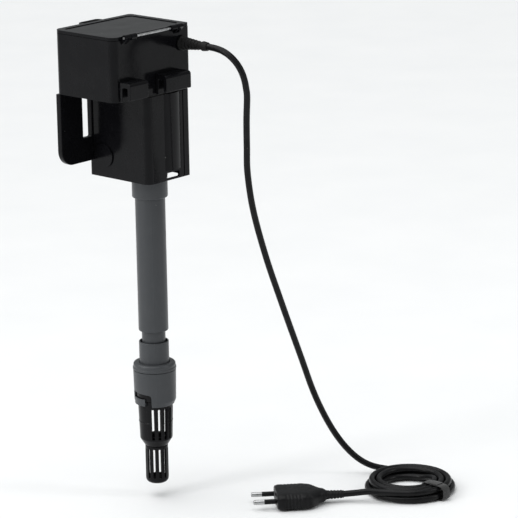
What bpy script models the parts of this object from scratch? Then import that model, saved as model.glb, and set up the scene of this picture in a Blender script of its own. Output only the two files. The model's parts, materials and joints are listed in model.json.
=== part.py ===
"""Internal hang-on filter pump for a small aquarium.

A filter case hooks over the rear pane of the tank. A pump chamber hangs under its right half, a slotted
splash guard under its left half, and a telescopic suction tube with a slotted strainer hangs below the
chamber. The mains lead leaves the case above the pane and lies in a coil on the table behind the tank.

Blender 4.5, +Z up, run in an empty or default scene. The origin is the middle of the right hook's seat on
the pane's top edge. +X runs along the pane, +Y points into the tank. Sizes below are in millimetres and
every mesh is made in metres.
"""

import math

import bmesh
import bpy
from mathutils import Matrix, Vector

MM = 0.001
GAP = 0.3  # between pieces that touch

# Hooks and the pane they sit on
PANE_SLOT = 5.6  # slot for a 5 mm pane
HOOK_DEPTH = 9.5  # how far the outer leg reaches down the pane
HOOK_TOP = 4.0
TABLE_Z = -350.0  # the table that the tank stands on

# Filter case, above the pane's edge
CASE_LEFT, CASE_RIGHT = -59.0, 26.0
REAR, FRONT = 6.0, 70.5
CASE_FLOOR, CASE_TOP = -12.0, 36.0
WALL = 2.0
EDGE_R = 6.0  # rounded upright edge on the left
SMALL_R = 3.0  # the other upright edges
LID_T = 2.5
HINGE_Y, HINGE_Z = 3.0, 38.0

HOOK_SCREWS = [(-9.5, -5.0), (9.5, -5.0), (-50.0, -5.0), (-38.0, -5.0)]  # X, Z
CASE_SCREWS = [(-19.6, 10.9), (19.8, 11.0)]  # X, Y

# Pump chamber
CHAMBER_LEFT, CHAMBER_RIGHT = -24.0, 24.5
CHAMBER_FLOOR, CHAMBER_TOP = -83.0, -13.6

# Suction tube, all turned about this upright axis
AXIS_X, AXIS_Y = 0.0, 28.5
TUBE_R, TUBE_BORE = 12.0, 10.3
TUBE_TOP, TUBE_END = -86.0, -209.5
INNER_R, INNER_BORE = 9.5, 7.8
SLEEVE_TOP, COLLAR_TOP, COLLAR_SEAM, COLLAR_END = -218.5, -236.0, -242.0, -271.0
COLLAR_R = 17.5
RING_LOW_R = 16.8  # the lock ring narrows a little downwards
NOTCH_START, NOTCH_END = 139.0, 213.0  # azimuths of the lock ring's notch
NOTCH_HIGH, NOTCH_LOW = -258.8, -260.5  # its sloping top edge, at the start and at the end
NOTCH_R = 2.5  # its upper corners
LUG_START, LUG_END = 141.5, 193.0  # azimuths of the strainer's lug in that notch
DRUM_R, DRUM_END = 15.2, -266.3
CAGE_END, TIP_END = -306.0, -338.0

# Riser from the pump to the case
RISER_X, RISER_Y, RISER_R = -13.0, 15.0, 4.5

# Mains lead
CORD_R = 2.6
GLAND_X, GLAND_Z, GLAND_TIP = 17.0, 24.0, -22.0
COIL_X, COIL_Y = 138.0, -122.0
COIL_OUTER, COIL_INNER = 36.8, 21.2  # radii of the outermost and innermost turns
COIL_LEAVE = 34.2  # radius where the top layer ends
COIL_BASE = TABLE_Z + 1.0
ENTRY_DEG, EXIT_DEG = 30.0, 210.0

# The lead's route from the gland to the coil, chosen by hand
CORD_ROUTE = [
    (17.0, -22.9, 24.0),
    (17.0, -30.1, 23.6),
    (17.3, -37.2, 22.2),
    (18.1, -43.6, 19.1),
    (19.4, -48.9, 14.2),
    (21.0, -52.5, 7.9),
    (22.6, -54.2, 1.0),
    (24.1, -54.5, -6.2),
    (25.3, -54.2, -13.4),
    (27.8, -51.0, -32.0),
    (29.8, -49.0, -54.0),
    (32.0, -47.3, -76.0),
    (38.0, -47.2, -107.0),
    (51.0, -48.0, -147.0),
    (68.0, -49.0, -189.0),
    (89.0, -50.5, -239.0),
    (103.0, -51.5, -272.0),
    (117.0, -53.5, -299.0),
    (129.0, -58.0, -319.5),
    (140.0, -65.0, -334.5),
    (149.5, -74.3, -342.8),
]

# Plug
PLUG_T = 13.7
PLUG_Z = TABLE_Z + PLUG_T / 2
PLUG_HEADING = 137.9  # direction of the pins, degrees from +X


# ---------------------------------------------------------------- materials and objects


def material(name, colour, roughness, metallic=0.0):
    made = bpy.data.materials.new(name)
    made.use_nodes = True
    shader = made.node_tree.nodes["Principled BSDF"]
    shader.inputs["Base Color"].default_value = (*colour, 1.0)
    shader.inputs["Roughness"].default_value = roughness
    shader.inputs["Metallic"].default_value = metallic
    return made


def add(name, bm, mat, sharp=35.0):
    """A mesh object from a bmesh drawn in millimetres."""
    bmesh.ops.scale(bm, vec=Vector((MM, MM, MM)), verts=bm.verts)
    bmesh.ops.recalc_face_normals(bm, faces=bm.faces)
    mesh = bpy.data.meshes.new(name)
    bm.to_mesh(mesh)
    bm.free()
    mesh.shade_smooth()
    mesh.set_sharp_from_angle(angle=math.radians(sharp))
    obj = bpy.data.objects.new(name, mesh)
    bpy.context.collection.objects.link(obj)
    if mat:
        mesh.materials.append(mat)
    return obj


def origin_to(obj, x, y, z):
    """Moves an object's origin onto its joint's axis and leaves its shape where it is."""
    at = Vector((x, y, z)) * MM
    obj.data.transform(Matrix.Translation(-at))
    obj.location = at


def hide(tool):
    tool.hide_render = True
    tool.display_type = "WIRE"
    return tool


def boolean(obj, tool, operation):
    step = obj.modifiers.new(tool.name, "BOOLEAN")
    step.operation = operation
    step.solver = "EXACT"
    step.object = hide(tool)


def cut(obj, *tools):
    for tool in tools:
        boolean(obj, tool, "DIFFERENCE")


def weld(obj, *tools):
    for tool in tools:
        boolean(obj, tool, "UNION")


# ---------------------------------------------------------------- outlines


def arc(cx, cy, radius, start, end, steps):
    """Points on an arc, angles in degrees."""
    out = []
    for i in range(steps + 1):
        a = math.radians(start + (end - start) * i / steps)
        out.append((cx + radius * math.cos(a), cy + radius * math.sin(a)))
    return out


def rounded(x0, y0, x1, y1, radii, steps=4):
    """A rectangle with its own radius at each corner: (x0,y0), (x1,y0), (x1,y1), (x0,y1)."""
    corners = [(x0, y0, 1, 1, 180), (x1, y0, -1, 1, 270), (x1, y1, -1, -1, 0), (x0, y1, 1, -1, 90)]
    out = []
    for (x, y, sx, sy, start), r in zip(corners, radii):
        if r:
            out += arc(x + sx * r, y + sy * r, r, start, start + 90, steps)
        else:
            out.append((x, y))
    return out


def prism(name, outline, low, high, mat=None, along="Z"):
    """An outline pushed from low to high along Z (outline in X, Y), Y (in X, Z) or X (in Y, Z)."""
    bm = bmesh.new()
    places = {
        "X": lambda u, v, w: (w, u, v),
        "Y": lambda u, v, w: (u, w, v),
        "Z": lambda u, v, w: (u, v, w),
    }
    place = places[along]
    rings = [[bm.verts.new(place(u, v, w)) for u, v in outline] for w in (low, high)]
    bm.faces.new(rings[0])
    bm.faces.new(rings[1])
    count = len(outline)
    for i in range(count):
        j = (i + 1) % count
        bm.faces.new((rings[0][i], rings[0][j], rings[1][j], rings[1][i]))
    return add(name, bm, mat)


def block(name, low, high, mat=None):
    outline = rounded(low[0], low[1], high[0], high[1], (0, 0, 0, 0))
    return prism(name, outline, low[2], high[2], mat)


def turned(name, profile, mat=None, segments=28, x=AXIS_X, y=AXIS_Y, closed=True, turn=None):
    """A profile of (radius, height) points turned about the upright axis at x, y.

    A closed profile is a ring. An open one starts and ends on the axis. turn lays the axis along -Y.
    """
    bm = bmesh.new()
    rows = []
    for r, z in profile:
        if r < 1e-6:
            rows.append([bm.verts.new((0, 0, z))])
            continue
        angles = (2 * math.pi * i / segments for i in range(segments))
        rows.append([bm.verts.new((r * math.cos(a), r * math.sin(a), z)) for a in angles])
    pairs = list(zip(rows, rows[1:]))
    if closed:
        pairs.append((rows[-1], rows[0]))
    for a, b in pairs:
        for i in range(segments):
            j = (i + 1) % segments
            corners = [a[i % len(a)], a[j % len(a)], b[j % len(b)], b[i % len(b)]]
            unique = list(dict.fromkeys(corners))
            if len(unique) > 2:
                bm.faces.new(unique)
    if turn == "-Y":
        bmesh.ops.rotate(bm, verts=bm.verts, cent=(0, 0, 0), matrix=Matrix.Rotation(math.pi / 2, 3, "X"))
        bmesh.ops.translate(bm, verts=bm.verts, vec=(x, 0, y))
    elif turn == "X":
        bmesh.ops.rotate(bm, verts=bm.verts, cent=(0, 0, 0), matrix=Matrix.Rotation(math.pi / 2, 3, "Y"))
        bmesh.ops.translate(bm, verts=bm.verts, vec=(0, x, y))
    else:
        bmesh.ops.translate(bm, verts=bm.verts, vec=(x, y, 0))
    return add(name, bm, mat)


def rod(name, radius, low, high, mat=None, segments=24, x=AXIS_X, y=AXIS_Y, turn=None):
    """A plain cylinder. With turn "-Y" it runs from Y = -low to -high, with "X" along X."""
    profile = [(0, high), (radius, high), (radius, low), (0, low)]
    return turned(name, profile, mat, segments, x, y, closed=False, turn=turn)


def slotted(name, rows, mat, slots, open_rows, share=0.4, turn=0.0, solid=()):
    """A turned shell (outer radius, inner radius, height) with upright slots through some of its rows.

    A radius of 0 in the last row closes the shell there. share is a slot's part of its pitch, turn the first
    slot's place in pitches, and solid the slots that are left out.
    """
    bm = bmesh.new()
    pitch = 2 * math.pi / slots
    angles, is_slot = [], []
    for k in range(slots):
        start = (k + turn - share / 2) * pitch
        angles += [start, start + pitch * share]
        is_slot += [k not in solid, False]
    count = len(angles)

    def ring(radius, z):
        if radius == 0:
            return [bm.verts.new((AXIS_X, AXIS_Y, z))] * count
        places = [(AXIS_X + radius * math.cos(a), AXIS_Y + radius * math.sin(a), z) for a in angles]
        return [bm.verts.new(place) for place in places]

    outer = [ring(row[0], row[2]) for row in rows]
    inner = [ring(row[1], row[3] if len(row) > 3 else row[2]) for row in rows]

    def face(*corners):
        unique = list(dict.fromkeys(corners))
        if len(unique) > 2:
            bm.faces.new(unique)

    for i in range(len(rows) - 1):
        for j in range(count):
            k = (j + 1) % count
            if i in open_rows and is_slot[j]:
                face(outer[i][j], outer[i + 1][j], inner[i + 1][j], inner[i][j])
                face(outer[i][k], inner[i][k], inner[i + 1][k], outer[i + 1][k])
                if i - 1 not in open_rows:
                    face(outer[i][j], inner[i][j], inner[i][k], outer[i][k])
                if i + 1 not in open_rows:
                    face(outer[i + 1][j], outer[i + 1][k], inner[i + 1][k], inner[i + 1][j])
                continue
            face(outer[i][j], outer[i][k], outer[i + 1][k], outer[i + 1][j])
            face(inner[i][j], inner[i + 1][j], inner[i + 1][k], inner[i][k])
    ends = [0] + ([-1] if rows[-1][0] else [])
    for end in ends:
        for j in range(count):
            k = (j + 1) % count
            face(outer[end][j], outer[end][k], inner[end][k], inner[end][j])
    return add(name, bm, mat)


def sector(name, section, start, end, steps, mat=None):
    """A closed section of (radius, height) points swept about the tube's axis, from one azimuth to another.

    section is a function of the azimuth in degrees.
    """
    bm = bmesh.new()
    rings = []
    for i in range(steps + 1):
        degrees = start + (end - start) * i / steps
        out = heading(degrees)
        points = section(degrees)
        rings.append([bm.verts.new((AXIS_X + out.x * r, AXIS_Y + out.y * r, z)) for r, z in points])
    bm.faces.new(rings[0])
    bm.faces.new(rings[-1])
    for a, b in zip(rings, rings[1:]):
        for j in range(len(a)):
            k = (j + 1) % len(a)
            bm.faces.new((a[j], a[k], b[k], b[j]))
    return add(name, bm, mat)


def smooth(points, spacing):
    """Points a fixed distance apart along a Catmull-Rom curve through the given points."""
    pts = [Vector(p) for p in points]
    pts = [pts[0] * 2 - pts[1]] + pts + [pts[-1] * 2 - pts[-2]]
    fine = []
    for a, b, c, d in zip(pts, pts[1:], pts[2:], pts[3:]):
        for i in range(24):
            t = i / 24
            slope = (c - a) * t
            bow = (2 * a - 5 * b + 4 * c - d) * t**2
            twist = (3 * b - a - 3 * c + d) * t**3
            fine.append(b + 0.5 * (slope + bow + twist))
    fine.append(pts[-2])
    total = sum((q - p).length for p, q in zip(fine, fine[1:]))
    count = max(2, round(total / spacing))
    out, walked, target = [fine[0]], 0.0, total / count
    for p, q in zip(fine, fine[1:]):
        step = (q - p).length
        while walked + step >= target - 1e-9 and len(out) < count:
            out.append(p.lerp(q, (target - walked) / step))
            target += total / count
        walked += step
    out.append(fine[-1])
    return out


def tube(name, points, radius, mat, sides=2):
    """A cord or wire: a poly curve with a round bevel and filled caps."""
    curve = bpy.data.curves.new(name, "CURVE")
    curve.dimensions = "3D"
    curve.bevel_depth = radius * MM
    curve.bevel_resolution = sides
    curve.use_fill_caps = True
    spline = curve.splines.new("POLY")
    spline.points.add(len(points) - 1)
    for point, place in zip(spline.points, points):
        point.co = (*(place * MM), 1.0)
    curve.materials.append(mat)
    obj = bpy.data.objects.new(name, curve)
    bpy.context.collection.objects.link(obj)
    return obj


# ---------------------------------------------------------------- filter case


def make_case(shell, steel):
    radii = (EDGE_R, SMALL_R, SMALL_R, EDGE_R)
    inner = tuple(r - WALL for r in radii)
    outline = rounded(CASE_LEFT, REAR, CASE_RIGHT, FRONT, radii)
    case = prism("filter_case", outline, CASE_FLOOR, CASE_TOP, shell)
    hollow = rounded(CASE_LEFT + WALL, REAR + WALL, CASE_RIGHT - WALL, FRONT - WALL, inner)
    cut(case, prism("case_hollow", hollow, CASE_FLOOR + WALL, CASE_TOP + 5))
    outlet = rounded(-54.0, 25.5, -28.0, 62.0, (3, 3, 3, 3), 3)
    cut(case, prism("case_outlet", outlet, CASE_FLOOR - 2, CASE_FLOOR + WALL + 2))
    floor = (CASE_FLOOR - 2, CASE_FLOOR + WALL + 2)
    cut(case, rod("case_riser_hole", RISER_R + 0.4, *floor, x=RISER_X, y=RISER_Y))
    cut(case, rod("case_lead_hole", 3.4, *floor, x=10.0, y=52.0))
    cut(case, rod("case_gland_hole", 4.9, -9.0, -5.0, x=GLAND_X, y=GLAND_Z, turn="-Y"))
    for i, (x, z) in enumerate(HOOK_SCREWS):
        cut(case, rod(f"case_hook_hole_{i}", 1.7, -9.0, -5.0, x=x, y=z, segments=12, turn="-Y"))
    for i, (x, y) in enumerate(CASE_SCREWS):
        cut(case, rod(f"case_screw_hole_{i}", 1.7, *floor, x=x, y=y, segments=12))
    for i, x in enumerate((-50.0, 8.0)):
        knuckle = [*arc(HINGE_Y, HINGE_Z, 2.4, 180, 0, 8), (5.9, 36.1), (6.6, 35.6), (6.6, 32.0)]
        weld(case, prism(f"case_knuckle_{i}", knuckle, x, x + 6, along="X"))
        bore = rod(f"case_knuckle_bore_{i}", 1.35, x - 1, x + 7, None, 16, HINGE_Y, HINGE_Z, "X")
        cut(case, bore)

    lid_z = CASE_TOP + GAP
    outline = rounded(CASE_LEFT, REAR + 0.3, CASE_RIGHT, FRONT, radii)
    lid = prism("lid", outline, lid_z, lid_z + LID_T, shell)
    tab = rounded(-28.0, FRONT - 1, -5.0, FRONT + 5, (0, 0, 3, 3))
    weld(lid, prism("lid_tab", tab, lid_z, lid_z + LID_T))
    for i, x in enumerate((-43.6, 1.6)):
        knuckle = [*arc(HINGE_Y, HINGE_Z, 2.4, 90, 270, 8), (7.0, lid_z + 0.1), (7.0, lid_z + LID_T)]
        weld(lid, prism(f"lid_knuckle_{i}", knuckle, x, x + 6, along="X"))
        bore = rod(f"lid_knuckle_bore_{i}", 1.35, x - 1, x + 7, None, 16, HINGE_Y, HINGE_Z, "X")
        cut(lid, bore)
    origin_to(lid, 0, HINGE_Y, HINGE_Z)
    rod("lid_hinge_pin", 1.0, -50.5, 14.5, steel, 16, x=HINGE_Y, y=HINGE_Z, turn="X")


def make_hooks(shell, steel):
    half = PANE_SLOT / 2
    outline = [
        (-half, 0),
        (half, 0),
        (half, CASE_FLOOR + 0.5),
        (REAR - GAP, CASE_FLOOR + 0.5),
        (REAR - GAP, HOOK_TOP),
        *arc(-half - 1.2, HOOK_TOP - 2.0, 2.0, 90, 180, 4),
        (-half - 3.2, -HOOK_DEPTH + 0.8),
        (-half - 2.4, -HOOK_DEPTH),
        (-half, -HOOK_DEPTH),
    ]
    for side, low, high in (("right", -14.0, 14.0), ("left", -54.0, -34.0)):
        hook = prism(f"hanger_hook_{side}", outline, low, high, shell, along="X")
        for i, (x, z) in enumerate(HOOK_SCREWS):
            if low < x < high:
                tool = rod(f"hook_{side}_hole_{i}", 1.65, -6.5, -3.4, x=x, y=z, segments=12, turn="-Y")
                cut(hook, tool)
    screws("hanger_screw", steel, HOOK_SCREWS, 8.3, 3.7, "-Y")


def screws(name, steel, places, seat, tip, turn=None):
    """Pan-head screws, one node each. seat is where the head rests and tip where the shank ends."""
    way = -1 if turn == "-Y" else 1
    top, low, end = way * seat + 1.6 * way, way * seat, way * tip
    profile = [(0, top), (2.1, top), (2.6, top - 0.7 * way), (2.6, low), (1.3, low), (1.3, end), (0, end)]
    for i, (x, y) in enumerate(places):
        turned(f"{name}_{i + 1}", profile, steel, 16, x, y, closed=False, turn=turn)


def make_media(mats):
    """What the water passes on its way to the outlet slots in the case's floor."""
    left, right, near, far = -56.4, -3.0, 22.6, 67.8
    outline = rounded(left, near, right, far, (1.0, 1.0, 1.0, EDGE_R - WALL), 3)
    grate = prism("media_grate", outline, -9.6, -7.0, mats["grate"])
    for i in range(7):
        x = left + 5.0 + i * 7.0
        slot = rounded(x - 1.6, near + 4, x + 1.6, far - 4, (1.5,) * 4, 2)
        cut(grate, prism(f"grate_slot_{i}", slot, -12, -5))
    prism("carbon_cartridge", outline, -6.6, 2.4, mats["carbon"])
    prism("filter_sponge", outline, 2.8, 28.0, mats["sponge"])


# ---------------------------------------------------------------- pump chamber


def make_chamber(shell, rubber, steel):
    radii = (EDGE_R, SMALL_R, SMALL_R, 2.5)
    outline = rounded(CHAMBER_LEFT, REAR, CHAMBER_RIGHT, FRONT, radii)
    hollow = rounded(
        CHAMBER_LEFT + WALL, REAR + WALL, CHAMBER_RIGHT - WALL, FRONT - WALL, tuple(r - WALL for r in radii)
    )
    chamber = prism("pump_chamber", outline, CHAMBER_FLOOR, CHAMBER_TOP, shell)
    cut(chamber, prism("chamber_hollow", hollow, CHAMBER_FLOOR + WALL, CHAMBER_TOP + 5))
    bulge = arc(4.0, REAR + 19.25, 21.25, 245.0, 295.0, 8)
    bulge = [(-5.0, REAR + 1), (-5.0, REAR), *bulge, (13.0, REAR), (13.0, REAR + 1)]
    weld(chamber, prism("rear_bulge", bulge, -75.0, CHAMBER_TOP))
    weld(chamber, block("rear_rib", (16.6, REAR - 0.5, CHAMBER_FLOOR), (17.6, REAR + 1, CHAMBER_TOP)))
    weld(chamber, rod("side_boss", 9.5, CHAMBER_LEFT - 1.2, CHAMBER_LEFT + 1, x=54.0, y=-65.4, turn="X"))
    for i, (x, y) in enumerate(CASE_SCREWS):
        weld(chamber, rod(f"chamber_boss_{i}", 2.9, -30.0, CHAMBER_TOP, x=x, y=y, segments=16))
        cut(chamber, rod(f"chamber_boss_hole_{i}", 1.6, -27.0, CHAMBER_TOP + 2, x=x, y=y, segments=12))
    cut(chamber, rod("chamber_inlet", 8.9, CHAMBER_FLOOR - 2, CHAMBER_FLOOR + WALL + 2, segments=28))
    slot = rounded(-4.0, -81.5, 11.0, -77.0, (0.6, 0.6, 0.6, 0.6), 2)
    cut(chamber, prism("rear_slot", slot, REAR - 2, REAR + WALL + 2, along="Y"))
    drain = [(-4.0, 8.0), (21.0, 8.0), (21.0, 27.0), (15.0, 27.0), (10.5, 18.5), (-4.0, 14.5)]
    cut(chamber, prism("floor_opening", drain, CHAMBER_FLOOR - 2, CHAMBER_FLOOR + WALL + 1))

    ring = prism("chamber_seal", rounded(-23.6, 6.4, 24.1, 70.1, (5.6, 2.6, 2.6, 2.1)), -13.3, -12.3, rubber)
    cut(ring, prism("seal_hole", rounded(-21.6, 8.4, 22.1, 68.1, (3.6, 0.8, 0.8, 0.6)), -15, -11))
    for i, (x, y) in enumerate(CASE_SCREWS):
        cut(ring, rod(f"seal_screw_hole_{i}", 1.8, -15, -11, x=x, y=y, segments=12))
    screws("case_screw", steel, CASE_SCREWS, CASE_FLOOR + WALL + GAP, -25.0)


def make_guard(shell):
    """The slotted plate under the case's left half that quiets the returning water."""
    left, right, low, high = CASE_LEFT, CHAMBER_LEFT - 0.4, -70.7, CASE_FLOOR - GAP
    outline = rounded(left, low, right, high, (12.5, 1.0, 0, 0), 6)
    guard = prism("splash_guard", outline, 66.0, FRONT, shell, along="Y")
    slot = rounded(-34.6, -51.4, -25.5, -18.0, (1.2, 1.2, 1.2, 1.2), 2)
    cut(guard, prism("guard_slot", slot, 64, 73, along="Y"))


# ---------------------------------------------------------------- pump


def make_pump(mats):
    shell, white, steel = mats["housing"], mats["ceramic"], mats["steel"]
    low, high = -61.3, -22.0
    motor = prism("motor_body", rounded(-20, 20, 20, 66, (3,) * 4, 3), low, high, mats["potting"])
    cut(motor, prism("motor_hollow", rounded(-18.4, 21.6, 18.4, 64.4, (1.4,) * 4, 2), low + 1.6, high + 4))
    weld(motor, rod("rotor_well", 8.3, low, -29.0, segments=32))
    cut(motor, rod("rotor_bore", 7.1, low - 2, -30.4, segments=32))
    cap = prism("motor_cap", rounded(-20, 20, 20, 66, (3,) * 4, 3), high + GAP, high + 2.3, mats["potting"])
    cut(cap, rod("cap_lead_hole", 3.3, high - 2, high + 5, x=10.0, y=52.0))
    core = [(-17.5, 22.5), (-9, 22.5), (-9, 52), (9, 52), (9, 22.5), (17.5, 22.5), (17.5, 60), (-17.5, 60)]
    prism("stator_core", core, -53.0, -39.0, steel)
    outline = rounded(47.5, -58.0, 64.0, -34.0, (3,) * 4, 3)
    coil = prism("motor_coil", outline, -8.5, 8.5, mats["copper"], along="X")
    cut(coil, prism("coil_window", rounded(51.6, -53.4, 60.4, -38.6, (0.5,) * 4, 1), -12, 12, along="X"))

    volute = rod("volute_cover", 15.0, -79.2, low - GAP, shell, 32)
    weld(volute, rod("volute_port", 6.2, -79.2, low - GAP, x=RISER_X, y=RISER_Y))
    cut(volute, rod("volute_hollow", 13.2, -77.2, low + 4, segments=32))
    cut(volute, rod("volute_inlet", 8.9, -82, -76, segments=28))
    cut(volute, rod("volute_port_hollow", RISER_R + 0.3, -76.0, low + 4, x=RISER_X, y=RISER_Y))
    throat = block("volute_throat", (-3.2, -17.0, -75.0), (3.2, -8.0, -67.0))
    throat.rotation_euler.z = math.atan2(RISER_Y - AXIS_Y, RISER_X - AXIS_X) + math.pi / 2
    throat.location = (AXIS_X * MM, AXIS_Y * MM, 0)
    cut(volute, throat)

    star = []
    for k in range(6):
        middle = 60.0 * k
        star += arc(AXIS_X, AXIS_Y, 4.0, middle - 22, middle - 10, 1)
        star += arc(AXIS_X, AXIS_Y, 11.4, middle - 3, middle + 3, 1)
        star += arc(AXIS_X, AXIS_Y, 4.0, middle + 10, middle + 22, 1)
    impeller = prism("impeller", star, -76.2, -66.8, white)
    weld(impeller, rod("impeller_disc", 11.8, -67.0, -65.0, segments=36))
    cut(impeller, rod("impeller_bore", 1.6, -80, -60, segments=16))
    origin_to(impeller, AXIS_X, AXIS_Y, -70.0)
    section = [(6.6, -34.2), (6.6, -64.6), (1.6, -64.6), (1.6, -34.2)]
    magnet = turned("rotor_magnet", section, mats["magnet"], 32)
    origin_to(magnet, AXIS_X, AXIS_Y, -50.0)
    rod("ceramic_shaft", 1.2, -80.2, -31.2, white, 16)
    turned("shaft_bush_bottom", [(2.4, -76.8), (2.4, -80.8), (1.5, -80.8), (1.5, -76.8)], mats["rubber"], 20)
    turned("shaft_bush_top", [(6.7, -30.8), (6.7, -33.6), (1.5, -33.6), (1.5, -30.8)], mats["rubber"], 24)

    section = [(4.5, 18.0), (4.5, -66.0), (3.4, -66.0), (3.4, 18.0)]
    riser = turned("riser_tube", section, shell, 24, RISER_X, RISER_Y)
    cut(riser, block("riser_window", (RISER_X - 2.4, RISER_Y + 1, 9.0), (RISER_X + 2.4, RISER_Y + 7, 16.0)))
    knob = [(0, 30.0), (5.4, 30.0), (6.4, 29.0), (6.4, 18.4), (3.0, 18.4), (3.0, 8.0), (0, 8.0)]
    knob = turned("flow_knob", knob, mats["grate"], 24, RISER_X, RISER_Y, closed=False)
    weld(knob, block("knob_grip", (RISER_X - 5, RISER_Y - 1.1, 29.0), (RISER_X + 5, RISER_Y + 1.1, 33.0)))
    origin_to(knob, RISER_X, RISER_Y, 18.4)


# ---------------------------------------------------------------- suction tube


def notch_section(degrees):
    """The lock ring's notch at an azimuth: open below, with rounded upper corners."""
    reach = math.radians(min(degrees - NOTCH_START, NOTCH_END - degrees)) * COLLAR_R
    drop = NOTCH_R - math.sqrt(NOTCH_R**2 - max(0.0, NOTCH_R - reach) ** 2)
    share = (degrees - NOTCH_START) / (NOTCH_END - NOTCH_START)
    top = NOTCH_HIGH + (NOTCH_LOW - NOTCH_HIGH) * share - drop
    return [(14.0, COLLAR_END - 4), (20.0, COLLAR_END - 4), (20.0, top), (14.0, top)]


def make_tube(mats):
    grey, black = mats["tube"], mats["strainer"]
    socket = [
        (14.25, -83.3),
        (14.25, -98.4),
        (13.3, -99.5),
        (12.3, -99.5),
        (12.3, -85.5),
        (6.0, -85.5),
        (6.0, -77.6),
        (8.5, -77.6),
        (8.5, -83.3),
    ]
    socket = turned("socket_collar", socket, grey)
    weld(socket, block("spider_bar", (-7.0, AXIS_Y - 1.4, -81.2), (7.0, AXIS_Y + 1.4, -78.4)))
    weld(socket, rod("spider_hub", 3.8, -81.3, -78.3, segments=20))
    cut(socket, rod("spider_bore", 2.7, -84, -75, segments=20))

    lip = TUBE_END + 3.0
    body = [(TUBE_R, TUBE_TOP), (TUBE_R, TUBE_END + 0.6), (TUBE_R - 0.6, TUBE_END), (9.8, TUBE_END)]
    turned("main_tube", [*body, (9.8, lip), (TUBE_BORE, lip), (TUBE_BORE, TUBE_TOP)], grey)

    inner = [
        (INNER_R, -188.0),
        (INNER_R, -192.0),
        (10.0, -192.3),
        (10.0, -194.7),
        (INNER_R, -195.0),
        (INNER_R, -262.0),
        (INNER_BORE, -262.0),
        (INNER_BORE, -188.0),
    ]
    origin_to(turned("inner_tube", inner, grey), AXIS_X, AXIS_Y, TUBE_END)
    sleeve = [
        (TUBE_R - 1.0, SLEEVE_TOP),
        (TUBE_R, SLEEVE_TOP - 1.0),
        (TUBE_R, -240.7),
        (DRUM_R, -240.7),
        (DRUM_R, DRUM_END),
        (13.4, DRUM_END),
        (13.4, -242.6),
        (9.8, -242.6),
        (9.8, SLEEVE_TOP),
    ]
    origin_to(turned("strainer_sleeve", sleeve, grey), AXIS_X, AXIS_Y, TUBE_END)

    shoulder = [(12.8 + 4.2 * u, COLLAR_TOP - 3.6 * (1 - v)) for u, v in arc(0, 0, 1.0, 90, 0, 4)]
    seam = COLLAR_SEAM + 0.2
    cap = [
        (12.4, COLLAR_TOP),
        *shoulder,
        (COLLAR_R, -239.9),
        (COLLAR_R, seam),
        (15.7, seam),
        (15.7, -240.3),
        (12.4, -240.3),
    ]
    origin_to(turned("collar_cap", cap, grey), AXIS_X, AXIS_Y, TUBE_END)
    seam = COLLAR_SEAM - 0.2
    ring = [
        (COLLAR_R, seam),
        (RING_LOW_R, COLLAR_END + 3.8),
        (15.2, COLLAR_END),
        (14.4, COLLAR_END),
        (14.4, -267.6),
        (15.7, -266.9),
        (15.7, seam),
    ]
    ring = turned("collar_ring", ring, grey, 32)
    cut(ring, sector("collar_notch", notch_section, NOTCH_START, NOTCH_END, 37))
    origin_to(ring, AXIS_X, AXIS_Y, COLLAR_SEAM)

    rows = [
        (13.0, 11.4, -256.0),
        (13.0, 11.4, -266.7),
        (14.0, 11.4, -266.75),
        (14.0, 12.2, -271.0),
        (13.95, 12.3, -273.2),
        (13.1, 11.5, -299.6),
        (13.1, 11.4, -300.2),
        (9.3, 7.9, CAGE_END),
    ]
    cage = slotted("strainer_cage", rows, black, 16, {4}, turn=0.5, solid={6, 7, 8})
    lug = [(13.4, -266.9), (13.4, -270.0), (16.6, -270.0), (16.6, -264.2), (15.6, -264.2), (15.6, -266.9)]
    weld(cage, sector("lock_lug", lambda degrees: lug, LUG_START, LUG_END, 8))
    origin_to(cage, AXIS_X, AXIS_Y, COLLAR_END)
    rows = [
        (7.5, 6.3, -299.0),
        (7.5, 6.3, CAGE_END - GAP),
        (9.25, 6.3, CAGE_END - GAP - 0.05),
        (9.25, 7.7, -308.6),
        (9.25, 7.7, -333.0),
        (9.2, 7.65, -333.3),
        (8.2, 6.6, -336.2, -334.8),
        (5.4, 4.4, -337.6, -336.0),
        (0, 0, TIP_END, -336.4),
    ]
    tip = slotted("strainer_tip", rows, black, 12, {3})
    origin_to(tip, AXIS_X, AXIS_Y, COLLAR_END)


# ---------------------------------------------------------------- mains lead


def heading(degrees):
    return Vector((math.cos(math.radians(degrees)), math.sin(math.radians(degrees)), 0))


def on_coil(degrees, radius, z):
    return Vector((COIL_X, COIL_Y, z)) + heading(degrees) * radius


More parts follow.
